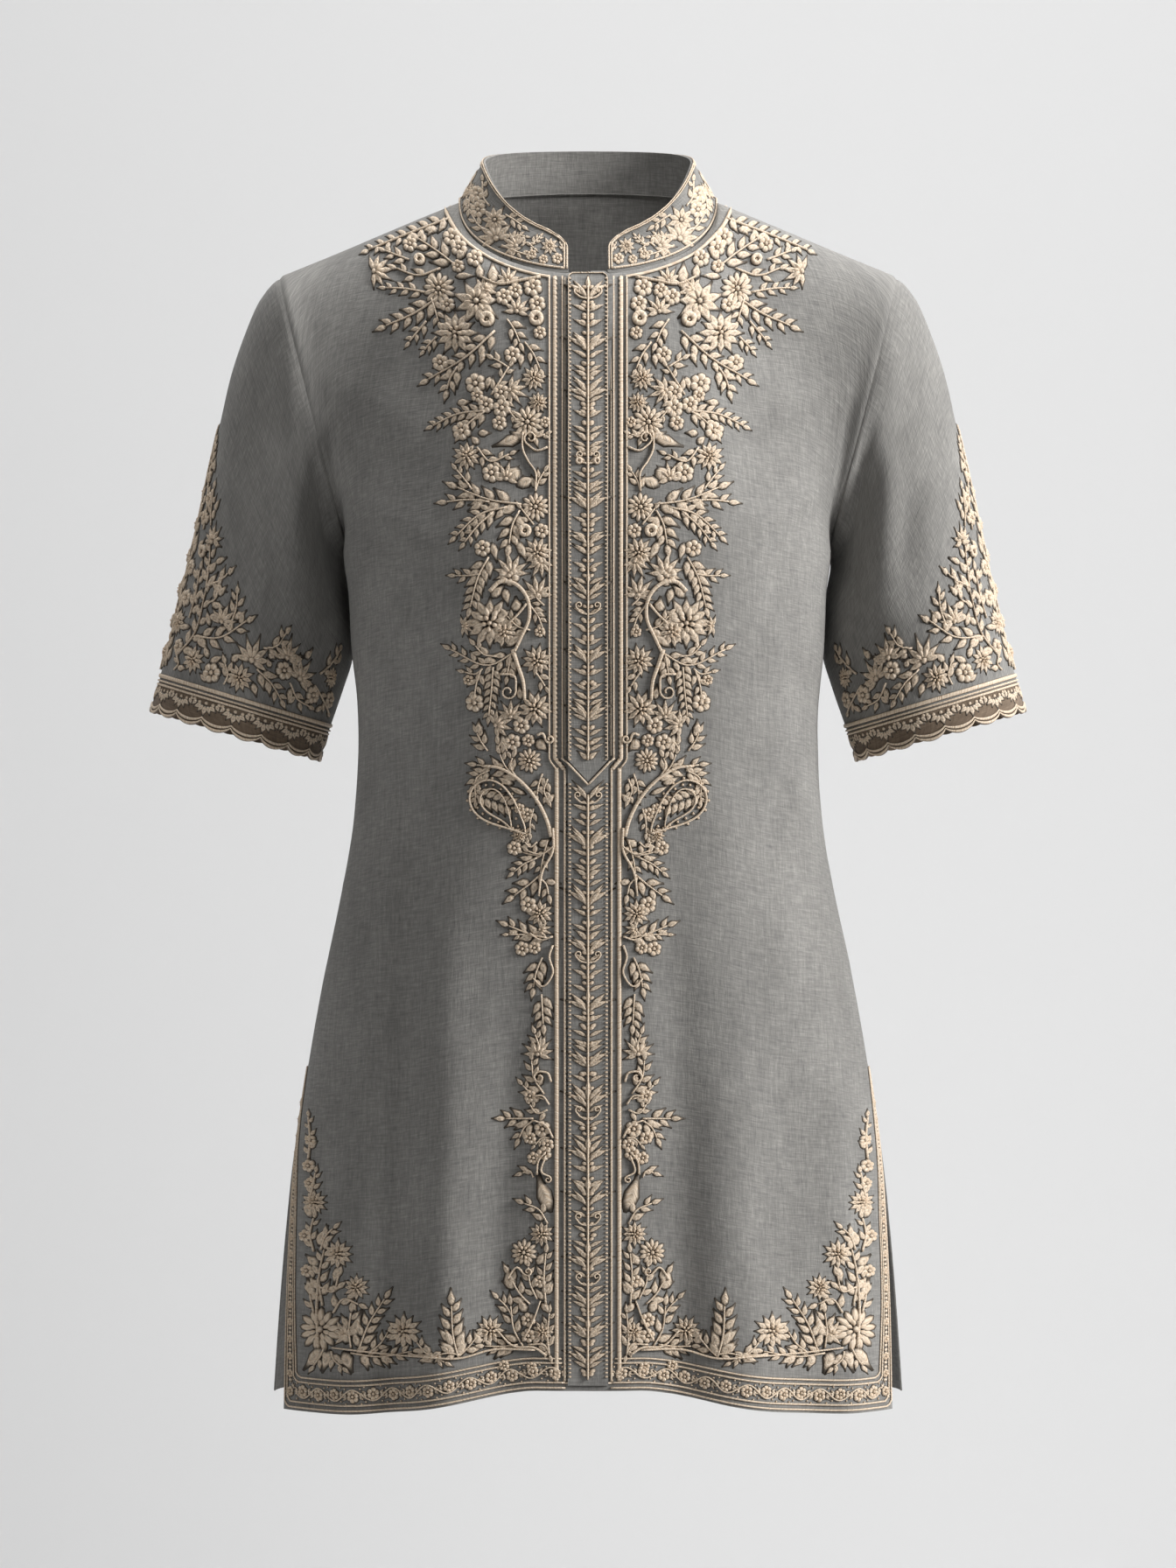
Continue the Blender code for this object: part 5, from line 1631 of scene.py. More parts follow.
# %% Vine: sprays, from their foot to their tip
VINE_SPRAYS = (
    ((158, 251), (206, 269), (250, 287), 12, 9),
    ((204, 298), (218, 293), (231, 288), 12, 2),
    ((152, 303), (172, 288), (192, 275), 17, 4),
    ((168, 308), (194, 316), (218, 308), 14, 3),
    ((186, 335), (210, 331), (230, 330), 11, 4),
    ((172, 342), (196, 358), (230, 373), 16, 5),
    ((178, 342), (174, 355), (170, 368), 13, 2),
    ((184, 368), (194, 380), (203, 391), 11, 3),
    ((172, 386), (180, 394), (186, 401), 10, 2),
    ((106, 379), (140, 410), (181, 434), 15, 7),
    ((148, 420), (156, 433), (160, 446), 15, 2),
    ((92, 420), (98, 416), (107, 411), 13, 1),
    ((110, 452), (100, 436), (90, 420), 12, 3),
    ((92, 366), (84, 378), (78, 392), 14, 3),
    ((72, 392), (62, 406), (55, 422), 13, 3),
    ((116, 470), (148, 474), (176, 487), 12, 7),
    ((116, 470), (134, 483), (145, 497), 12, 4),
    ((96, 455), (90, 470), (82, 480), 10, 2),
    ((65, 494), (58, 500), (49, 497), 11, 2),
    ((126, 512), (112, 528), (90, 520), 12, 4),
    ((132, 560), (140, 549), (149, 538), 12, 2),
    ((76, 577), (112, 572), (148, 558), 18, 5),
    ((112, 574), (138, 572), (160, 574), 15, 3),
    ((92, 580), (122, 588), (150, 613), 13, 7),
    ((108, 586), (124, 600), (140, 620), 12, 5),
    ((78, 584), (86, 600), (90, 622), 18, 4),
    ((62, 600), (70, 590), (76, 582), 12, 1),
    ((60, 562), (56, 550), (50, 540), 12, 2),
    ((113, 637), (123, 655), (134, 694), 15, 7),
    ((122, 656), (136, 658), (150, 658), 12, 2),
    ((50, 692), (58, 684), (62, 676), 10, 2),
    ((66, 692), (56, 706), (52, 718), 11, 2),
    ((66, 720), (80, 716), (92, 704), 14, 2),
    ((84, 745), (112, 760), (156, 742), 13, 7),
    ((104, 750), (118, 748), (128, 738), 13, 2),
    ((120, 764), (128, 770), (140, 768), 11, 1),
    ((108, 762), (110, 790), (113, 818), 12, 8),
    ((122, 766), (127, 782), (129, 796), 12, 3),
    ((88, 748), (90, 760), (92, 772), 13, 1),
    ((60, 768), (54, 776), (49, 784), 13, 1),
    ((114, 858), (121, 848), (126, 838), 13, 2),
    ((104, 858), (98, 848), (92, 858), 12, 1),
    ((74, 898), (88, 872), (86, 866), 14, 1),
    ((78, 893), (96, 872), (100, 862), 14, 2),
    ((88, 882), (110, 876), (126, 874), 14, 2),
    ((112, 880), (126, 888), (128, 914), 12, 7),
    ((52, 884), (56, 896), (58, 908), 12, 2),
    ((46, 890), (50, 904), (46, 914), 11, 2),
    ((62, 924), (66, 940), (66, 952), 10, 2),
    ((58, 962), (66, 968), (72, 962), 11, 2),
    ((58, 977), (66, 976), (74, 974), 12, 1),
    ((58, 980), (74, 988), (84, 996), 12, 4),
    ((46, 960), (52, 984), (54, 998), 12, 2),
    ((56, 1001), (64, 1008), (84, 1023), 16, 2),
    ((54, 1004), (48, 1010), (45, 1022), 14, 1),
    ((46, 1072), (64, 1068), (90, 1058), 15, 4),
    ((58, 1070), (74, 1068), (90, 1068), 10, 2),
    ((52, 1094), (58, 1108), (62, 1128), 15, 4),
    ((53, 1136), (52, 1152), (51, 1170), 15, 4),
    ((53, 1206), (56, 1194), (60, 1182), 13, 2),
    ((50, 1250), (62, 1230), (64, 1212), 14, 4),
    ((50, 1256), (64, 1250), (74, 1240), 12, 2),
    ((62, 1278), (74, 1278), (94, 1278), 15, 2),
    ((62, 1280), (72, 1288), (78, 1300), 14, 3),
    ((46, 1268), (58, 1272), (66, 1262), 11, 3),
    ((44, 1300), (52, 1300), (60, 1308), 9, 3),
    ((62, 1345), (66, 1338), (74, 1340), 12, 1),
    ((46, 1398), (56, 1382), (72, 1375), 14, 2),
    ((48, 1490), (50, 1458), (48, 1432), 14, 5),
    ((66, 1490), (76, 1480), (90, 1456), 15, 3),
    ((58, 1484), (66, 1466), (68, 1448), 12, 3),
    ((86, 1504), (92, 1494), (102, 1484), 13, 1),
    ((74, 1538), (84, 1520), (88, 1492), 16, 3),
    ((44, 1548), (46, 1530), (44, 1500), 12, 4),
    ((68, 1536), (48, 1538), (44, 1548), 12, 2),
    ((80, 1536), (96, 1538), (118, 1538), 14, 3),
    ((148, 1552), (154, 1528), (156, 1492), 19, 5),
    ((148, 1550), (136, 1538), (128, 1528), 15, 2),
    ((146, 1548), (160, 1546), (182, 1552), 12, 3),
    ((170, 1552), (184, 1546), (194, 1534), 13, 2),
    ((200, 1548), (176, 1550), (164, 1556), 12, 2),
    ((270, 1546), (240, 1550), (200, 1544), 14, 6),
    ((262, 1544), (250, 1512), (232, 1484), 15, 6),
    ((270, 1540), (272, 1520), (270, 1500), 16, 3),
    ((250, 1546), (236, 1534), (228, 1522), 12, 2),
    ((290, 1500), (278, 1484), (262, 1490), 14, 2),
    ((302, 1492), (306, 1460), (300, 1428), 15, 5),
    ((306, 1470), (290, 1476), (284, 1458), 14, 1),
    ((304, 1428), (298, 1412), (290, 1404), 12, 3),
    ((312, 1430), (316, 1410), (312, 1392), 11, 3),
    ((292, 1544), (290, 1552), (280, 1562), 12, 2),
    ((300, 1540), (306, 1552), (312, 1560), 12, 2),
    ((312, 1500), (316, 1478), (314, 1460), 11, 3),
    ((316, 1368), (312, 1352), (310, 1340), 10, 2),
    ((318, 1324), (316, 1300), (318, 1276), 9, 4),
)

# %% Vine: single leaves and scrolling stems
VINE_LEAVES = (
    ((107, 326), (111, 302), 12),
    ((122, 320), (126, 302), 9),
    ((104, 326), (124, 334), 12),
    ((152, 317), (130, 314), 7),
    ((166, 264), (165, 248), 8),
    ((170, 262), (188, 266), 8),
    ((150, 298), (138, 284), 8),
    ((126, 368), (124, 352), 7),
    ((118, 402), (122, 418), 7),
    ((76, 404), (76, 420), 7),
    ((112, 430), (114, 446), 8),
    ((150, 462), (134, 458), 8),
    ((126, 496), (112, 494), 8),
    ((124, 508), (134, 500), 8),
    ((74, 498), (104, 512), 12),
    ((72, 500), (88, 496), 9),
    ((76, 546), (94, 538), 15),
    ((82, 556), (60, 545), 12),
    ((100, 560), (94, 574), 7),
    ((82, 618), (68, 640), 9),
    ((110, 620), (103, 640), 8),
    ((96, 672), (90, 690), 9),
    ((110, 684), (98, 668), 10),
    ((80, 700), (84, 684), 12),
    ((60, 700), (48, 704), 6),
    ((94, 740), (74, 722), 9),
    ((84, 776), (90, 762), 8),
    ((76, 800), (80, 784), 8),
    ((124, 840), (126, 824), 9),
    ((92, 860), (100, 840), 11),
    ((60, 846), (46, 856), 12),
    ((84, 896), (104, 890), 8),
    ((50, 918), (38, 906), 9),
    ((70, 908), (92, 900), 6),
    ((56, 968), (44, 958), 9),
    ((42, 1385), (60, 1345), 15),
    ((86, 1474), (94, 1450), 13),
    ((54, 1488), (42, 1500), 8),
    ((284, 1446), (288, 1466), 9),
    ((304, 1470), (318, 1466), 9),
    ((303, 1538), (320, 1564), 12),
    ((294, 1542), (300, 1566), 11),
    ((280, 1544), (268, 1565), 13),
    ((258, 1546), (250, 1563), 10),
    ((276, 1536), (280, 1510), 11),
    ((268, 1530), (262, 1500), 10),
    ((312, 1482), (322, 1462), 10),
    ((306, 1446), (322, 1436), 10),
    ((308, 1424), (300, 1402), 9),
    ((314, 1392), (324, 1374), 9),
    ((236, 1546), (226, 1560), 9),
    ((150, 1550), (140, 1532), 10),
    ((152, 1540), (166, 1518), 10),
    ((92, 1536), (104, 1552), 10),
    ((70, 1500), (80, 1484), 10),
    ((52, 1480), (42, 1462), 9),
    ((58, 1446), (50, 1430), 9),
    ((122, 1536), (132, 1522), 9),
    ((180, 1546), (188, 1558), 8),
)
STEM_COLUMNS = ("path", "width", "curl")
VINE_STEMS = (
    (((54, 318), (76, 322), (104, 326), (122, 318)), 3.0, 0),
    (((74, 495), (74, 515), (68, 528), (60, 540), (60, 562)), 2.8, 0),
    (((112, 676), (100, 665), (84, 667), (70, 682), (67, 706), (76, 728), (84, 745)), 5.5, 0),
    (((86, 742), (80, 760), (74, 778), (72, 800)), 5.5, 0),
    (((70, 690), (78, 700), (90, 712)), 3.5, 0),
    (((100, 770), (84, 772), (82, 790)), 3.0, 9),
    (((58, 840), (52, 838), (48, 846)), 3.5, -5),
    (((46, 512), (58, 516), (70, 508)), 2.6, 8),
    (((42, 956), (46, 940), (62, 909), (81, 889), (102, 877), (120, 875)), 5.0, 0),
    (((40, 946), (40, 972), (52, 996), (56, 1024)), 3.6, 0),
    (((38, 966), (54, 976), (70, 972)), 2.4, 0),
    (((40, 1070), (54, 1074), (66, 1066)), 2.6, 0),
    (((40, 1080), (44, 1092), (40, 1112), (52, 1127), (62, 1118)), 3.0, 0),
    (((42, 1236), (46, 1226), (54, 1224)), 3.0, -7),
    (((44, 1262), (52, 1252), (62, 1252)), 2.6, 0),
    (((40, 1300), (48, 1286), (62, 1280)), 2.8, 0),
    (((58, 1342), (56, 1326), (48, 1316)), 2.8, 0),
    (((48, 1320), (52, 1340), (44, 1344)), 2.6, 4),
    (((48, 1548), (60, 1540), (84, 1538), (104, 1520)), 3.2, 0),
    (((74, 1532), (62, 1508), (54, 1486)), 2.6, 0),
    (((60, 1542), (110, 1542), (148, 1552), (190, 1550), (240, 1546), (290, 1540)), 3.0, 0),
    (((306, 1540), (308, 1500), (306, 1460)), 3.2, 0),
    (((92, 1462), (80, 1448), (72, 1456)), 2.8, -5),
)
FLOWER_GROWTH, SPRAY_GROWTH, LEAF_GROWTH, THINNED = 1.15, 1.3, 1.15, 0.8
VINE_HIGH = 1.9
PAISLEY_PLACE, PAISLEY_LONG, PAISLEY_WIDE, PAISLEY_TURN = (104, 916), 74, 44, 200


def up_paper(place):
    """A place given down the paper, as one that is up from its top."""
    return (place[0], -place[1])


vine = Needlework(SQUARE)
lay_out(vine, up_paper, VINE_FLOWERS, VINE_SPRAYS, (FLOWER_GROWTH, SPRAY_GROWTH), thinned=THINNED)
for row in named(LEAF_COLUMNS, VINE_LEAVES):
    vine.leaf(up_paper(row["foot"]), up_paper(row["tip"]), row["width"] * LEAF_GROWTH, 1.4, 0.08)
for row in named(STEM_COLUMNS, VINE_STEMS):
    vine.stem([up_paper(place) for place in row["path"]], row["width"], 1.3, row["curl"])
paisley(vine, up_paper(PAISLEY_PLACE), PAISLEY_LONG, PAISLEY_WIDE, PAISLEY_TURN)
for side, word in SIDES:
    sew(vine, f"vine_{word}", lambda a, u: on_front(side * a, -u), side < 0, high=VINE_HIGH)

# %% [markdown]
# ## The placket, the band below it and the underlap
# The slit opens under a long strip of the same linen, the placket, sewn down along the wearer's right
# and loose at the top on the left, where the underlap shows beside it. Below the waist the strip goes
# on as a band down to the border. Each is a strip of cloth laid on the front, so each is made from
# the front's own points, moved out.

# %% Placket, band and underlap
LIFT, STRIP_THICK, UNDERLAP_THICK = 0.35, 1.0, 0.7
PLACKET_LIFT = LIFT * 2 + UNDERLAP_THICK
PLACKET_ACROSS = PLACKET_HALF / SQUARE
PLACKET_TOP, PLACKET_END, POINT_END, BAND_END = 314.0, 868.0, 893.0, 1583.0
PLACKET_CORNER, TOP_SLANT, BAND_GAP = 4.0, 2.0, 3.5
STRIP_STEP = 7.0
STRIP_SHARES = np.concatenate([[-1, -0.96], np.linspace(-0.86, 0.86, 11), [0.96, 1]])
UNDERLAP_IN, UNDERLAP_OUT, UNDERLAP_LOW, UNDERLAP_HIGH, UNDERLAP_DOWN = 6.0, 31.0, 24.5, 315.0, 452.0
UNDERLAP_LINES, UNDERLAP_ROWS = 9, 24


def laid_strip(name, across, downs, lift, thick, node):
    """A strip of cloth on the front, from a grid of places on the paper whose first row is its foot."""
    found, outward = on_front(across, downs)
    uv = np.stack([across.ravel(), -downs.ravel()], -1) * SQUARE
    strip = link_mesh(name, found + outward * (lift + thick), grid_faces(*downs.shape, False), uv)
    thicken(strip, thick)
    finish_piece(strip, linen, "linen", node)


def strip_downs(top_line, foot_line):
    """Rows of places down the paper, from a strip's foot up to its top."""
    rows = round(float(np.max(np.abs(foot_line - top_line))) / STRIP_STEP)
    return foot_line + (top_line - foot_line) * np.linspace(0, 1, rows + 1)[:, None]


strip_places = STRIP_SHARES * PLACKET_ACROSS
corner = np.clip((np.abs(strip_places) - PLACKET_ACROSS + PLACKET_CORNER) / PLACKET_CORNER, 0, 1)
placket_top = PLACKET_TOP + PLACKET_CORNER * (1 - np.sqrt(1 - corner**2)) + TOP_SLANT * (strip_places < 0)
point_line = POINT_END - (POINT_END - PLACKET_END) * np.abs(strip_places) / PLACKET_ACROSS
placket_downs = strip_downs(placket_top, point_line)
placket_across = np.zeros_like(placket_downs) + strip_places
laid_strip("placket_cloth", placket_across, placket_downs, PLACKET_LIFT, STRIP_THICK, "placket")

band_downs = strip_downs(point_line + BAND_GAP, np.full(len(strip_places), BAND_END))
band_across = np.zeros_like(band_downs) + strip_places
laid_strip("centre_band_cloth", band_across, band_downs, LIFT, STRIP_THICK, "centre_band")

lap_shares = np.linspace(0, 1, UNDERLAP_LINES)
lap_rows = np.linspace(1, 0, UNDERLAP_ROWS)[:, None]
lap_downs = UNDERLAP_HIGH + (UNDERLAP_DOWN - UNDERLAP_HIGH) * lap_rows + 0 * lap_shares
lap_reach = UNDERLAP_OUT + (UNDERLAP_LOW - UNDERLAP_OUT) * lap_rows
lap_across = UNDERLAP_IN + (lap_reach - UNDERLAP_IN) * lap_shares
laid_strip("underlap_cloth", lap_across, lap_downs, LIFT, UNDERLAP_THICK, "underlap")

# %% [markdown]
# ## Scalloped trim of the cuffs
# A strip of finer, browner linen hangs below each cuff. Its edge is cut in eighteen scallops, each
# bound with two rows of thread, and small sprigs fill it. The strip goes on the line of the sleeve
# and opens a little.

# %% Trim strips
TRIM_THICK = 1.0
SCALLOPS, SCALLOP_STEPS, SCALLOP_DEPTH, SCALLOP_POWER = 18, 10, 4.5, 0.7
TRIM_ROWS = 9
TRIM_BROWN, TRIM_DEEP, TRIM_PALE = "#7c6b5a", "#5e5043", "#8f7d6a"
trim_linen = linen_finish("fine_brown_linen", TRIM_BROWN, TRIM_DEEP, TRIM_PALE)
trim_turns = np.arange(SCALLOPS * SCALLOP_STEPS + 1) * 2 / (SCALLOPS * SCALLOP_STEPS)
trim_arch = 1 - np.abs(np.cos(np.pi * SCALLOPS * trim_turns / 2)) ** SCALLOP_POWER


def trim_grid(side):
    """Points of one trim, with its scalloped edge in the last row."""
    rings = np.array([sleeve_ring(row, trim_turns) for row in LACE_RINGS])
    rows = between_rings(rings, np.linspace(0, 2, TRIM_ROWS))
    down = distances(rows, 0)
    share = down / down[-1]
    drop = unit(rows[-1] - rows[-2])
    rows = rows - drop * (trim_arch * SCALLOP_DEPTH)[None, :, None] * (share**2)[..., None]
    return rows * np.array([side, 1, 1])


trims = {}
for side, word in SIDES:
    grid = trim_grid(side)
    piece = sewn_tube(f"cuff_trim_cloth_{word}", grid, distances(grid, 0), side)
    thicken(piece, TRIM_THICK)
    finish_piece(piece, trim_linen, "trim_lace", f"cuff_trim_{word}")
    trims[side] = (grid, grid_normals(grid, -side))


def on_trim(scallops, down, side):
    """A trim, by scallops round from the outer line, forwards above zero, and by the share of its depth."""
    grid, normals = trims[side]
    column = (SCALLOPS / 2 - np.ravel(scallops)) * SCALLOP_STEPS
    row = np.ravel(down) * (TRIM_ROWS - 1)
    return read_grid(grid, row, column), unit(read_grid(normals, row, column))


# %% [markdown]
# ## Cords
# Narrow twisted cords outline every part: beside the placket, round the neck and the collar, above
# the hem and the slits, and above the cuffs. They are couched down, so each follows the cloth
# exactly. The CAD cords stand for them, and these finer pairs take their places.

# %% Cords beside the placket and round the neck
CORD_HIGH, CORD_STEP = 1.25, 5.0
# A cord wider than DOTTED_FROM is dotted, on closer places. One narrower than LOW_BELOW is lower.
DOTTED_FROM, DOTTED_CLOSER, LOW_BELOW, LOW_SHARE = 5.4, 0.55, 1.6, 0.7
CORD_COLUMNS = ("path", "width")
PLACKET_CORDS = (
    (((44.2, -316), (44.2, -868.5), (36.4, -878.5)), 2.4),
    (((35.8, -877.5), (35.8, -1578)), 5.2),
    (((37.5, -317), (37.5, -866.5), (27.2, -879.0)), 5.8),
    (((26.6, -878.0), (26.6, -1578)), 2.8),
    (((29.2, -317), (29.2, -866)), 2.4),
    (((26.2, -318), (26.2, -864)), 1.2),
    (((0.0, -1580), (26.5, -1580)), 2.2),
)
NECK_CORD_ACROSS, NECK_CORD_BELOW, NECK_CORD_WIDE, NECK_CORD_STEPS = 44.5, 7.9, 2.2, 70
NECK_ROWS, NECK_BEAD = 40, 0.2


def on_neck(column, below, front_side):
    """Beside the neck seam, by columns from the centre and by the shortest way from the seam."""
    grid, normals = (front, front_normals) if front_side else (back, back_normals)
    centre = grid.shape[1] // 2
    rows = np.arange(grid.shape[0])[: -NECK_ROWS - 1 : -1]
    beads = np.arange(-NECK_COLUMNS, NECK_COLUMNS + NECK_BEAD, NECK_BEAD) + centre
    seam = read_grid(grid, np.full(len(beads), rows[0]), beads)
    away = np.linalg.norm(grid[rows][:, :, None] - seam, axis=-1).min(axis=-1)
    column, below = np.ravel(column) + centre, np.ravel(below)
    first = np.floor(column).astype(int)
    either = [[np.interp(b, away[:, n], rows) for n, b in zip(first + step, below)] for step in (0, 1)]
    row = either[0] + (np.array(either[1]) - either[0]) * (column - first)
    return read_grid(grid, row, column), unit(read_grid(normals, row, column))


def column_at(across, below):
    """The column of the front where a cord below the neck seam meets a place across the paper."""
    columns = np.arange(0, NECK_COLUMNS + 1, 0.5)
    found, _ = on_neck(columns, np.full(len(columns), below), True)
    return float(np.interp(across * SQUARE, found[:, 0], columns))


def seam_column(grid, below):
    """The column whose end on the shoulder seam lies as far from the neck as a cord below the neck seam."""
    along = distances(grid, 1)[-1][grid.shape[1] // 2 + NECK_COLUMNS :]
    return NECK_COLUMNS + float(np.interp(below, along - along[0], np.arange(len(along))))


placket_cords = Needlework(SQUARE)
for row in named(CORD_COLUMNS, PLACKET_CORDS):
    dotted, low = row["width"] > DOTTED_FROM, row["width"] < LOW_BELOW
    path = stepped(row["path"], CORD_STEP * (DOTTED_CLOSER if dotted else 1))
    placket_cords.cord(path, row["width"], CORD_HIGH * (LOW_SHARE if low else 1), dotted)
neck_half = Needlework(1.0)
columns = np.linspace(
    column_at(NECK_CORD_ACROSS, NECK_CORD_BELOW), seam_column(front, NECK_CORD_BELOW), NECK_CORD_STEPS
)
neck_half.cord(np.stack([columns, 0 * columns - NECK_CORD_BELOW], -1), NECK_CORD_WIDE, CORD_HIGH)
for side, word in SIDES:
    place_on = lambda a, u: on_front(side * a, -u)
    sew(placket_cords, f"placket_cords_{word}", place_on, side < 0, f"placket_cord_{word}")
    place_on = lambda c, b: on_neck(side * c, -b, True)
    sew(neck_half, f"neck_cords_{word}", place_on, side < 0, f"neck_cord_{word}")

back_neck = Needlework(1.0)
columns = seam_column(back, NECK_CORD_BELOW) * np.linspace(-1, 1, 2 * NECK_CORD_STEPS)
back_neck.cord(np.stack([columns, 0 * columns - NECK_CORD_BELOW], -1), NECK_CORD_WIDE, CORD_HIGH)
sew(back_neck, "neck_cords_back", lambda c, b: on_neck(c, -b, False), True, "neck_cord_back")

# %% Cords of the hem and the slits
HEM_CORDS_UP = (2.0, 5.2, 17.4, 20.2)
SIDE_CORDS_IN = (1.6, 4.2, 11.0, 13.4)
BORDER_CORDS = {"outer": (0, 1), "inner": (2, 3)}
CORD_CORNER, HEM_CORD_END, FINE_CORD, FINE_LOW = 3.0, 13.6, 1.3, 0.9
half_hem = float(np.ptp(front_u[0])) / 2
for side, word in SIDES:
    for label, numbers in BORDER_CORDS.items():
        border = Needlework(1.0)
        for number in numbers:
            up, inward = HEM_CORDS_UP[number], SIDE_CORDS_IN[number]
            path = [(half_hem - HEM_CORD_END, up), (inward + CORD_CORNER, up), (inward, up + CORD_CORNER)]
            border.cord(stepped(path + [(inward, VENT_TOP - HEM)], 3.0), FINE_CORD, CORD_HIGH * FINE_LOW)
        node = f"border_cord_{label}_{word}"
        sew(border, f"border_cords_{label}_{word}", lambda a, u: on_skirt(a, u, side), side > 0, node)

# %% Cords of the collar and the cuffs
COLLAR_CORD_IN = (0.8, 2.5)
COLLAR_FOOT_UP, COLLAR_FOOT_WIDE = 1.5, 1.8
COLLAR_END, COLLAR_END_STEPS, COLLAR_EDGE_STEPS = 18, 28, 60
CUFF_CORD_COLUMNS = ("up", "width")
CUFF_CORDS = ((1.1, 1.4), (4.2, 2.9))


def collar_top_at(along):
    """How high the collar stands, at a distance from its front end."""
    return np.interp(along, collar_around[0] - collar_around[0, 0], collar_up[-1])


collar_half = float(-collar_around[0, 0])
round_end = np.linspace(0, COLLAR_END, COLLAR_END_STEPS)
along = np.concatenate([round_end, np.linspace(COLLAR_END, collar_half, COLLAR_EDGE_STEPS)[1:]])
edging = Needlework(1.0)
for inset in COLLAR_CORD_IN:
    top_line = [(max(a, inset), collar_top_at(max(a, inset)) - inset) for a in along]
    edging.cord(stepped([(inset, 1.0)] + top_line, 2.0), FINE_CORD, CORD_HIGH)
foot_line = [(COLLAR_CORD_IN[1], COLLAR_FOOT_UP), (collar_half, COLLAR_FOOT_UP)]
edging.cord(stepped(foot_line, 2.0), COLLAR_FOOT_WIDE, CORD_HIGH)
for side, word in SIDES:
    nodes = ("collar_cord",) if side < 0 else ()
    sew(edging, f"collar_cords_{word}", lambda a, u: on_collar(a, u, side), side < 0, *nodes)
    cuff = Needlework(1.0)
    cuff_half = float(distances(joined(sleeves[side][0]), 1)[-1, -1]) / 2
    for row in named(CUFF_CORD_COLUMNS, CUFF_CORDS):
        path = stepped([(-cuff_half, row["up"]), (cuff_half, row["up"])], 2.5)
        cuff.cord(path, row["width"], CORD_HIGH)
    place_on = lambda a, u: on_sleeve(a, u, side)
    sew(cuff, f"cuff_cords_{word}", place_on, side > 0, f"cuff_cord_{word}")
print("collar half", round(collar_half), "mm, cuff half", round(cuff_half), "mm")

# %% [markdown]
# ## The band of leaves down the centre
# The placket and the band below it carry one upright plant: a straight stem with pairs of leaves,
# buds and curls, and a column of seed beads along both edges. It is laid out in pairs, so each row of
# the table draws both sides at once.

# %% The upright plant
BAND_COLUMNS = ("kind", "down", "reach", "rise")
BAND_MOTIFS = (
    ("tip", 336, 7, 18), ("leaves", 343, 20, 20), ("leaves", 347, 12, 26), ("curls", 345, 20, 6),
    ("buds", 356, 8, 6), ("buds", 366, 6, 5), ("buds", 375, 9, 7), ("leaves", 402, 21, 19),
    ("leaves", 404, 12, 26), ("buds", 412, 9, 6), ("buds", 421, 7, 6), ("leaves", 434, 14, 12),
    ("leaves", 456, 21, 14), ("leaves", 454, 13, 26), ("buds", 468, 8, 6), ("buds", 477, 9, 6),
    ("buds", 488, 6, 5), ("leaves", 506, 13, 14), ("leaves", 520, 15, 12), ("curls", 532, 17, 8),
    ("discs", 529, 10, 7), ("buds", 542, 6, 6), ("leaves", 560, 17, 12), ("leaves", 582, 21, 18),
    ("leaves", 584, 12, 26), ("buds", 594, 8, 6), ("buds", 604, 7, 6), ("leaves", 622, 19, 14),
    ("leaves", 636, 13, 16), ("bows", 653, 10, 6), ("tip", 668, 7, 16), ("leaves", 680, 19, 18),
    ("curls", 702, 19, 8), ("buds", 712, 8, 7), ("buds", 723, 9, 6), ("buds", 733, 6, 6),
    ("leaves", 756, 20, 18), ("leaves", 758, 12, 26), ("buds", 771, 9, 7), ("bows", 782, 10, 6),
    ("leaves", 800, 15, 14), ("leaves", 820, 20, 18), ("leaves", 822, 12, 26), ("buds", 834, 7, 6),
    ("leaves", 852, 15, 14), ("tip", 862, 6, 14), ("leaves", 868, 9, 12),
    ("leaves", 912, 17, 18), ("curls", 918, 20, 7), ("buds", 926, 7, 6), ("buds", 936, 9, 6),
    ("leaves", 968, 23, 22), ("leaves", 970, 13, 30), ("buds", 978, 7, 6), ("buds", 988, 9, 6),
    ("leaves", 1002, 13, 12), ("leaves", 1034, 21, 22), ("leaves", 1036, 12, 30), ("bows", 1044, 9, 6),
    ("tip", 1062, 7, 14), ("leaves", 1074, 12, 14), ("leaves", 1088, 20, 18), ("curls", 1100, 19, 7),
    ("buds", 1108, 8, 6), ("buds", 1119, 6, 6), ("leaves", 1154, 22, 16), ("leaves", 1156, 16, 26),
    ("tip", 1150, 6, 24), ("buds", 1166, 7, 6), ("buds", 1176, 9, 6), ("leaves", 1198, 15, 14),
    ("leaves", 1216, 20, 18), ("bows", 1228, 10, 7), ("tip", 1256, 9, 24), ("leaves", 1260, 14, 26),
    ("leaves", 1264, 21, 20), ("curls", 1278, 19, 8), ("bows", 1290, 10, 6), ("tip", 1316, 8, 20),
    ("leaves", 1320, 13, 24), ("leaves", 1326, 21, 18), ("buds", 1338, 8, 6), ("tip", 1362, 8, 20),
    ("leaves", 1368, 14, 24), ("leaves", 1376, 21, 18), ("curls", 1400, 19, 8), ("bows", 1412, 10, 6),
    ("tip", 1434, 8, 18), ("leaves", 1440, 14, 22), ("leaves", 1448, 21, 16), ("curls", 1468, 18, 7),
    ("leaves", 1490, 20, 18), ("buds", 1500, 8, 6), ("tip", 1520, 7, 16), ("leaves", 1526, 20, 18),
    ("buds", 1536, 8, 6), ("leaves", 1558, 20, 18), ("leaves", 1562, 12, 24), ("buds", 1570, 8, 6),
)
BEAD_STEP, BEAD_ACROSS, BEAD_LONG, BEAD_WIDE = 4.7, 20.9, 4.4, 3.0
BUD_FIRST, BUD_LAST, BUD_STEP, BUD_GAP_AT, BUD_GAP = 334, 1574, 8.6, 890, 18
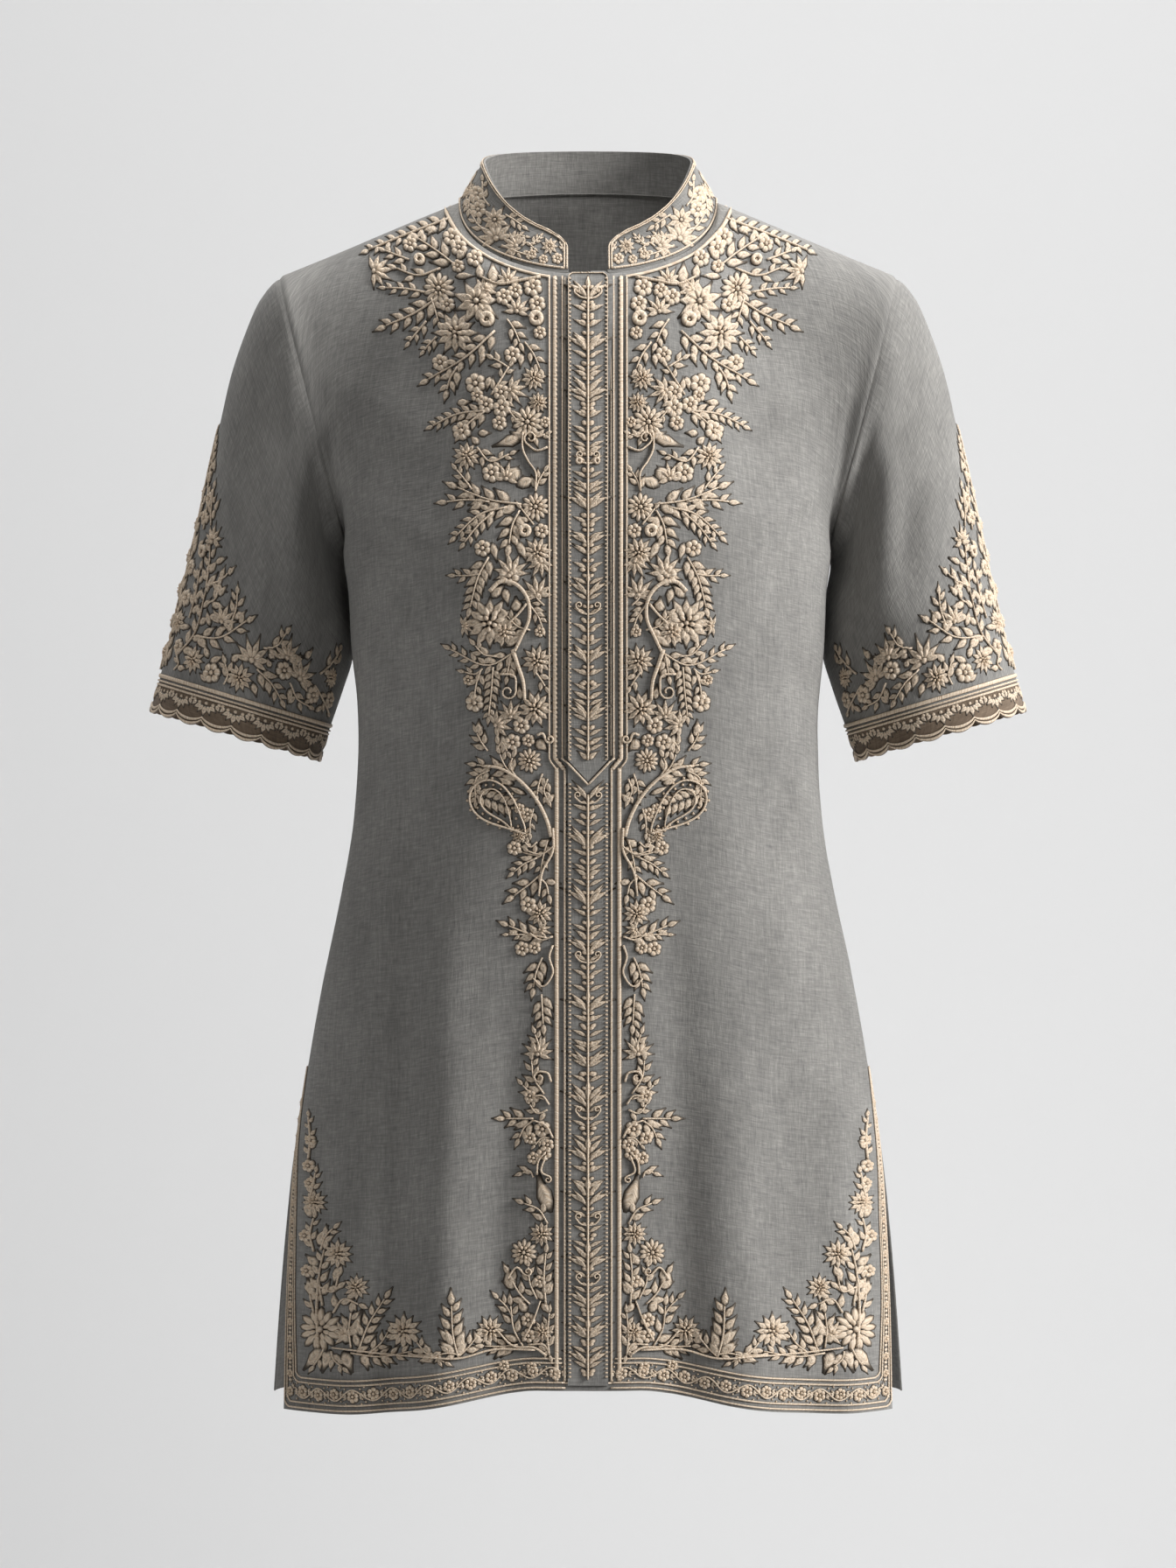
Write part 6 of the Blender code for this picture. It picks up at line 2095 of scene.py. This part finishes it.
BAND_STEMS = ((868, 322), (1576, 908))
BAND_BEADS = ((PLACKET_END, PLACKET_TOP + 8), (BAND_END - 8, POINT_END + 3))
EDGE_IN, EDGE_TOP, EDGE_CORNER = 0.9, 316, 3
POINT_CORD = ((30.5, -866.0), (24.0, -871.0), (0, -896.5))
LARGE_LEAVES = 16
BAND_HIGH = 1.6


def band_motif(work, kind, down, reach, rise):
    """One motif of the upright plant, on both sides of its stem."""
    if kind == "tip":
        work.leaf((0, -down), (0, rise - down), reach, 1.2)
    for way in (-1, 1):
        if kind == "leaves":
            work.leaf((0, -down), (way * reach, rise - down), 7.0, 1.2, -0.22 * way)
            if reach > LARGE_LEAVES:
                work.leaf((0, -down - 4), (way * reach * 0.62, rise * 1.12 - down), 5.6, 1.6, -0.2 * way)
        elif kind == "curls":
            path = ((0, -down), (way * reach * 0.45, -down + 2), (way * reach * 0.72, -down + rise))
            work.stem(path, 2.4, 1.0, 4 * way)
        elif kind == "buds":
            work.stamp(PETAL, (0, -down), reach + 3, 6.2, 1.1, 90 - 56 * way)
        elif kind == "discs":
            disc(work, (way * reach, -down), rise * 0.62)
        elif kind == "bows":
            work.stamp(PETAL, (way, -down), reach, rise, 1.3, 90 - 80 * way)


band_work = Needlework(SQUARE)
for row in named(BAND_COLUMNS, BAND_MOTIFS):
    band_motif(band_work, **row)
for number, down in enumerate(np.arange(BUD_FIRST, BUD_LAST, BUD_STEP)):
    if abs(down - BUD_GAP_AT) > BUD_GAP:
        for way in (-1, 1):
            if number % 2:
                band_work.leaf((0, -down), (way * (17 - number % 3), 13 - down), 5.4, 1.0, -0.22 * way)
            else:
                band_work.stamp(PETAL, (0, -down), 8.4, 5.2, 1.3, 90 - 62 * way)
for foot, head in BAND_STEMS:
    band_work.cord(stepped([(0, -foot), (0, -head)], 5.0), 2.8, 1.2)
for low, high in BAND_BEADS:
    for down in np.arange(high, low, BEAD_STEP):
        for way in (-1, 1):
            band_work.stamp(KNOT, (way * BEAD_ACROSS, -down), BEAD_LONG, BEAD_WIDE, 1.0, 0)
edge = PLACKET_ACROSS - EDGE_IN
outline = [(-edge, -PLACKET_END), (-edge, -EDGE_TOP - 3), (-edge + 2.5, -EDGE_TOP)]
outline += [(edge - EDGE_CORNER, -EDGE_TOP), (edge, -EDGE_TOP - 4), (edge, -PLACKET_END)]
band_work.cord(stepped(outline, 5.0), 1.1, 0.6)
for way in (-1, 1):
    band_work.cord(stepped([(way * across, up) for across, up in POINT_CORD], 4.0), 2.8, 1.3)


def on_band(across, up):
    """The outer face of the placket and of the band below it."""
    found, outward = on_front(across, -np.ravel(up))
    from_middle = np.abs(np.ravel(across))
    point = POINT_END - (POINT_END - PLACKET_END) * from_middle / PLACKET_ACROSS
    on_placket = -np.ravel(up) < point
    lift = np.where(on_placket, PLACKET_LIFT, LIFT) + STRIP_THICK
    lift = np.where(from_middle > PLACKET_ACROSS + 0.5, 0, lift)
    return found + outward * lift[:, None], outward


sew(band_work, "band_of_leaves", on_band, False, high=BAND_HIGH)

# %% [markdown]
# ## The collar's and the sleeves' flowers
# The collar carries a row of flowers between two sprays, and the sleeves a border of flowers above
# the cuff that climbs to a point along the outer line of the arm. Both are laid out in their own
# lengths along the cloth, because they turn away from the front. Each sleeve's pattern is the same on
# its front and its back.

# %% The collar's flowers
COLLAR_FLOWERS = (
    ("lotus", 108, 264, 19, 70),
    ("bloom", 106, 252, 17, 0),
    ("rosette", 127, 222, 10, 0),
    ("rosette", 125, 240, 10, 0),
    ("lotus", 88, 278, 14, 30),
    ("bloom", 44, 282, 11, 20),
    ("rosette", 51, 297, 6, 0),
    ("rosette", 35, 296, 7, 0),
    ("rosette", 64, 291, 6, 0),
)
COLLAR_SPRAYS = (
    ((88, 274), (80, 270), (72, 271), 9, 2),
    ((98, 281), (82, 288), (66, 293), 10, 3),
    ((128, 214), (134, 226), (136, 240), 12, 3),
    ((94, 246), (84, 252), (76, 258), 13, 2),
    ((118, 264), (126, 256), (132, 246), 12, 2),
    ((112, 236), (118, 228), (120, 208), 12, 2),
    ((64, 280), (59, 275), (55, 271), 8, 2),
    ((28, 288), (29, 284), (31, 280), 6, 1),
    ((76, 282), (70, 278), (62, 284), 9, 2),
)
COLLAR_DEPTH = -45.0
COLLAR_GROWTH = (1.0, 1.15)
COLLAR_BLOOMS, COLLAR_UNIT, COLLAR_BLOOM_UP, COLLAR_BLOOM, COLLAR_BEAD = 5, 26.0, 14.6, 6.8, 2.4
BESIDE_BLOOM = (((4, 2), (8, 5), (13, 3)), ((4, -2), (8, -6), (13, -4)))
BESIDE_LEAF, BESIDE_PAIRS, BEAD_BESIDE = 7.2, 3, 10.5
FINE_STEM = 1.3

collar_tree = tree_of(collar, True)
collar_front = Needlework(SQUARE)
lay_out(collar_front, up_paper, COLLAR_FLOWERS, COLLAR_SPRAYS, COLLAR_GROWTH)
collar_round = Needlework(1.0)
for number in range(COLLAR_BLOOMS):
    at = collar_half - COLLAR_UNIT * (number + 0.5)
    bloom(collar_round, (at, COLLAR_BLOOM_UP), COLLAR_BLOOM)
    for way in (-1, 1):
        for path in BESIDE_BLOOM:
            places = [(at + way * across, COLLAR_BLOOM_UP + up) for across, up in path]
            spray(collar_round, places, BESIDE_LEAF, BESIDE_PAIRS, stem=FINE_STEM)
        bead = (at + way * BEAD_BESIDE, COLLAR_BLOOM_UP)
        collar_round.stamp(KNOT, bead, COLLAR_BEAD, COLLAR_BEAD, 1.2, 0)
for side, word in SIDES:
    place_on = lambda a, u: on_front(side * a, -u, collar_tree, COLLAR_DEPTH)
    sew(collar_front, f"collar_flowers_{word}", place_on, side < 0)
    sew(collar_round, f"collar_border_{word}", lambda a, u: on_collar(a, u, side), side < 0)

# %% The sleeves' flowers
SLEEVE_RADIUS = 57.0
CUFF_BORDER = 7.0
SLEEVE_FLOWERS = (
    ("rosette", 66, 15, 11, 0),
    ("peony", 40, 24, 15, 0),
    ("peony", 100, 19, 15, 0),
    ("lotus", 112, 52, 17, 80),
    ("lotus", 152, 66, 15, 85),
    ("rosette", 150, 42, 10, 0),
    ("lotus", 172, 46, 16, 60),
    ("rosette", 186, 24, 10, 0),
    ("peony", 203, 50, 12, 0),
    ("rosette", 205, 24, 10, 0),
    ("lotus", 32, 172, 13, 90),
    ("rosette", 15, 212, 9, 0),
    ("rosette", 13, 190, 9, 0),
    ("disc", 22, 150, 7, 0),
    ("lotus", 67, 84, 14, 80),
    ("rosette", 7, 238, 7, 0),
    ("peony", 11, 62, 14, 0),
    ("rosette", 14, 92, 10, 0),
    ("rosette", 10, 128, 9, 0),
    ("rosette", 18, 34, 9, 0),
)
SLEEVE_SPRAYS = (
    ((21, 26), (34, 50), (38, 104), 17, 4),
    ((34, 50), (67, 58), (96, 84), 17, 4),
    ((38, 104), (34, 136), (30, 160), 17, 3),
    ((38, 112), (50, 120), (60, 132), 17, 1),
    ((78, 78), (80, 96), (78, 112), 15, 2),
    ((118, 34), (136, 24), (152, 8), 15, 3),
    ((122, 60), (136, 66), (146, 84), 14, 2),
    ((158, 30), (170, 14), (184, 10), 14, 2),
    ((186, 36), (196, 24), (206, 10), 13, 2),
    ((190, 50), (200, 66), (207, 84), 14, 2),
    ((20, 6), (24, 14), (20, 22), 14, 1),
    ((84, 6), (86, 18), (80, 30), 14, 2),
    ((6, 232), (7, 252), (5, 280), 13, 4),
    ((16, 176), (14, 206), (8, 232), 13, 3),
    ((26, 182), (22, 200), (20, 226), 13, 2),
    ((44, 92), (52, 100), (52, 116), 16, 2),
    ((8, 8), (5, 40), (8, 78), 16, 4),
    ((8, 78), (4, 110), (8, 146), 16, 4),
    ((24, 70), (26, 96), (24, 128), 15, 3),
    ((8, 146), (4, 176), (6, 206), 15, 3),
)
SLEEVE_LEAVES = (
    ((60, 26), (76, 38), 9),
    ((58, 30), (50, 44), 9),
    ((128, 56), (138, 52), 8),
    ((160, 56), (170, 62), 8),
    ((14, 150), (20, 166), 8),
    ((134, 40), (128, 50), 8),
    ((176, 30), (182, 40), 8),
    ((28, 60), (12, 56), 8),
    ((40, 140), (54, 150), 9),
    ((52, 66), (44, 84), 9),
    ((86, 34), (96, 46), 9),
    ((138, 12), (130, 26), 9),
    ((172, 62), (180, 76), 9),
    ((192, 6), (200, 16), 8),
    ((60, 62), (74, 72), 9),
    ((48, 76), (60, 82), 9),
    ((46, 112), (58, 108), 9),
    ((30, 128), (42, 140), 9),
    ((24, 116), (14, 128), 9),
    ((30, 86), (22, 104), 9),
    ((116, 18), (124, 4), 9),
    ((124, 30), (140, 34), 9),
    ((160, 6), (168, 18), 9),
    ((206, 66), (209, 84), 8),
    ((26, 200), (32, 214), 8),
    ((14, 244), (10, 262), 8),
    ((64, 4), (52, 10), 8),
    ((52, 40), (44, 54), 9),
)
SLEEVE_EDGE_FLOWERS = (
    ("peony", 8.6, 20, 7.6, 40),
    ("rosette", 5.6, 40, 5.0, 0),
    ("bloom", 7.8, 61, 7.0, 90),
    ("rosette", 5.4, 83, 5.0, 0),
    ("rosette", 5.0, 104, 4.6, 0),
    ("rosette", 4.6, 125, 4.2, 0),
)
SLEEVE_EDGE_SPRAYS = (
    ((16, 10), (18, 30), (15, 50), 8.0, 4),
    ((15, 50), (17, 68), (14, 86), 8.0, 4),
    ((14, 86), (15, 102), (11, 120), 7.5, 3),
    ((10, 120), (9, 134), (5, 150), 7.0, 3),
    ((2.5, 138), (3.0, 150), (1.5, 166), 6.0, 3),
    ((4.0, 8), (4.5, 12), (3.0, 18), 5.0, 1),
)


def seen(place):
    """A place on the sleeve as it is seen, in squares from the outer line and up, in millimetres of cloth."""
    across, up = place
    return SLEEVE_RADIUS * math.acos(1 - across * SQUARE / SLEEVE_RADIUS), CUFF_BORDER + up * SQUARE


sleeve_growth = (FLOWER_GROWTH, SPRAY_GROWTH)
sleeve_work = Needlework(1.0)
lay_out(sleeve_work, seen, SLEEVE_FLOWERS, SLEEVE_SPRAYS, sleeve_growth, SQUARE, FINE_STEM)
for row in named(LEAF_COLUMNS, SLEEVE_LEAVES):
    sleeve_work.leaf(seen(row["foot"]), seen(row["tip"]), row["width"] * SQUARE, 1.3)
lay_out(sleeve_work, tuple, SLEEVE_EDGE_FLOWERS, SLEEVE_EDGE_SPRAYS, stem=FINE_STEM)
for side, word in SIDES:
    for face, turn in (("front", 1), ("back", -1)):
        place_on = lambda a, u: on_sleeve(turn * a, u, side)
        sew(sleeve_work, f"sleeve_flowers_{face}_{word}", place_on, side == turn, high=VINE_HIGH)

# %% The trims' sprigs and bound scallops
# One unit along a trim is a scallop, and one unit down it is its depth, both about twenty millimetres.
TRIM_UNIT = 20.0
SPRIG_REACHES, SPRIG_LONG = (-0.4, -0.22, 0.0, 0.22, 0.4), 0.3
BOUND_DOWN, BOUND_WIDE = ((0.95, 1.1), (0.83, 1.1), (0.07, 1.0)), 0.09

trim_work = Needlework(TRIM_UNIT)
for number in range(SCALLOPS):
    middle = number - SCALLOPS / 2 + 0.5
    for reach in SPRIG_REACHES:
        tip = (middle + reach, -0.74 + abs(reach) * 0.75)
        trim_work.leaf((middle + reach * SPRIG_LONG, -0.3), tip, 0.2, 1.3)
        bead = (middle + reach * 1.1, -0.24 + 0.06 * (abs(reach) > 0.3))
        trim_work.stamp(KNOT, bead, 0.15, 0.15, 1.1, 0)
    for way in (-1, 1):
        trim_work.leaf((middle + way * 0.34, -0.18), (middle + way * 0.49, -0.4), 0.16, 1.2)
bound = np.linspace(-SCALLOPS / 2, SCALLOPS / 2, SCALLOPS * SCALLOP_STEPS + 1)
for down, high in BOUND_DOWN:
    trim_work.cord(np.stack([bound, 0 * bound - down], -1), BOUND_WIDE, high)
for side, word in SIDES:
    sew(trim_work, f"cuff_trim_sprigs_{word}", lambda a, d: on_trim(a, -d, side), side > 0)

# %% [markdown]
# ## Borders of the hem and the slits
# Between the cord pairs above the hem runs a row of small flowers on a waving stem, and a narrower
# row climbs beside each slit. Both are one flower with two sprigs, repeated by a loop and shifted a
# little each time. The back has no border: its hem and slits are turned in and held by a line of
# running stitch.

# %% Border flowers
BORDER_STEP, BORDER_HIGH = 13.0, 1.6
BORDER_MIDDLE_UP, BORDER_MIDDLE_IN = 11.3, 7.6
BORDER_FLOWER, CORNER_FLOWER, SLIT_FLOWER = 4.1, 3.4, 3.0
SPRIG_LEAVES = ((0.75, -0.55), (0.95, 0.1), (0.7, 0.6))
WAVE_STEP, WAVE_HIGH, WAVE_FROM, WAVE_WIDE = 1.5, 3.4, 14, 1.1
HEM_FLOWERS_FROM, HEM_FLOWERS_SWAY, SLIT_FLOWERS_FROM, SLIT_FLOWERS_SHORT = 19.0, 0.6, 22.0, 34
SLIT_FLOWERS_CLOSER = 0.82
rng = np.random.default_rng(41)


def border_flower(work, at, along, r):
    """One flower with a sprig on both sides, along a direction."""
    way = toward(along)
    side = square_to(way)
    at = np.array(at)
    rosette(work, at, r)
    for turn in (-1, 1):
        foot = at + way * turn * r * 0.9
        for reach, wide in SPRIG_LEAVES:
            work.leaf(foot, foot + way * turn * r * reach + side * r * wide * turn, r * 0.42, 1.0)
        for out in (1, -1):
            work.stamp(KNOT, at + way * turn * r * 1.2 + out * side * r * 1.05, r * 0.36, r * 0.36, 0.9, 0)


border_work = Needlework(1.0)
hem_count = round((half_hem - 34) / BORDER_STEP)
for number in range(hem_count + 1):
    place = HEM_FLOWERS_FROM + (half_hem - 2 * HEM_FLOWERS_FROM) * number / hem_count
    up = BORDER_MIDDLE_UP + HEM_FLOWERS_SWAY * (-1) ** number
    border_flower(border_work, (place, up), 0, BORDER_FLOWER + rng.uniform(-0.2, 0.3))
wave = np.arange(WAVE_FROM, half_hem - WAVE_FROM, WAVE_STEP)
waving = BORDER_MIDDLE_UP + WAVE_HIGH * np.sin(wave * math.pi / BORDER_STEP)
border_work.cord(np.stack([wave, waving], -1), WAVE_WIDE, 0.9)
border_flower(border_work, (BORDER_MIDDLE_IN, BORDER_MIDDLE_UP), 45, CORNER_FLOWER)
slit_count = round((VENT_TOP - HEM - 30) / (BORDER_STEP * SLIT_FLOWERS_CLOSER))
for number in range(slit_count):
    place = SLIT_FLOWERS_FROM + (VENT_TOP - HEM - SLIT_FLOWERS_SHORT) * number / slit_count
    border_flower(border_work, (BORDER_MIDDLE_IN, place), 90, SLIT_FLOWER)
for side, word in SIDES:
    place_on = lambda a, u: on_skirt(a, u, side)
    sew(border_work, f"border_flowers_{word}", place_on, side > 0, high=BORDER_HIGH)

# %% Stitches of the back's hem
HEM_STITCH_UP, SLIT_STITCH_IN, STITCH_STEP, STITCH_LONG, STITCH_WIDE = 16.0, 11.0, 3.8, 2.7, 0.6


def on_back(across, up):
    """The back skirt, by distance from its centre and up from its hem, in millimetres."""
    row = np.interp(HEM + np.ravel(up), skirt_levels, np.arange(len(skirt_levels)))
    columns = np.arange(back.shape[1])
    column = np.array([np.interp(a, back_u[r], columns) for r, a in zip(row.astype(int), np.ravel(across))])
    return read_grid(back, row, column), unit(read_grid(back_normals, row, column))


grey_thread = floss_finish("grey_thread", LINEN_PALE, LINEN_GREY, 0.5, 0.1)
hem_stitches = Needlework(1.0)
half_back = float(np.ptp(back_u[0])) / 2 - SLIT_STITCH_IN
for across in np.arange(-half_back, half_back, STITCH_STEP):
    hem_stitches.stamp(KNOT, (across, HEM_STITCH_UP), STITCH_LONG, STITCH_WIDE, 0.3, 0)
for up in np.arange(HEM_STITCH_UP, VENT_TOP - HEM, STITCH_STEP):
    half_row = float(np.ptp(back_u[int(np.searchsorted(skirt_levels, HEM + up))])) / 2 - SLIT_STITCH_IN
    for way in (-1, 1):
        hem_stitches.stamp(KNOT, (way * half_row, up), STITCH_LONG, STITCH_WIDE, 0.3, 90)
for name, inside in (("hem_stitches_back", 0.0), ("hem_stitches_inside", CLOTH_THICK)):
    finish_piece(wrap(hem_stitches, name, on_back, True, inside), grey_thread, "linen")

# %% [markdown]
# ## Cloth as it was cut
# A table gives each cloth piece's flat cut: its width and length, how it is held, what it rests on
# and its area. The panels, sleeves and trims hang. The collar is cloth folded over its stiff layer,
# and the placket, the band and the underlap are laid on the front. The loop below only reads each row.

# %% Flat cuts
SHEET_COLUMNS = ("piece", "width", "length", "held", "rests_on", "area")
SHEETS = (
    ("front_cloth", 0.500, 0.800, "hung", (), 0.328),
    ("back_cloth", 0.490, 0.795, "hung", (), 0.322),
    ("sleeve_cloth_right", 0.445, 0.275, "hung", (), 0.067),
    ("sleeve_cloth_left", 0.445, 0.275, "hung", (), 0.067),
    ("collar_cloth", 0.461, 0.0425, "folded", (), 0.0132),
    ("placket_cloth", 0.0246, 0.310, "laid", ("front_cloth",), None),
    ("centre_band_cloth", 0.0246, 0.372, "laid", ("front_cloth",), None),
    ("underlap_cloth", 0.0134, 0.074, "laid", ("front_cloth",), None),
    ("cuff_trim_cloth_right", 0.357, 0.0205, "hung", ("sleeve_cloth_right",), 0.0070),
    ("cuff_trim_cloth_left", 0.357, 0.0205, "hung", ("sleeve_cloth_left",), 0.0070),
)
for row in named(SHEET_COLUMNS, SHEETS):
    piece, flat = bpy.data.objects[row["piece"]], (row["width"], row["length"])
print(len(SHEETS), "sheets")
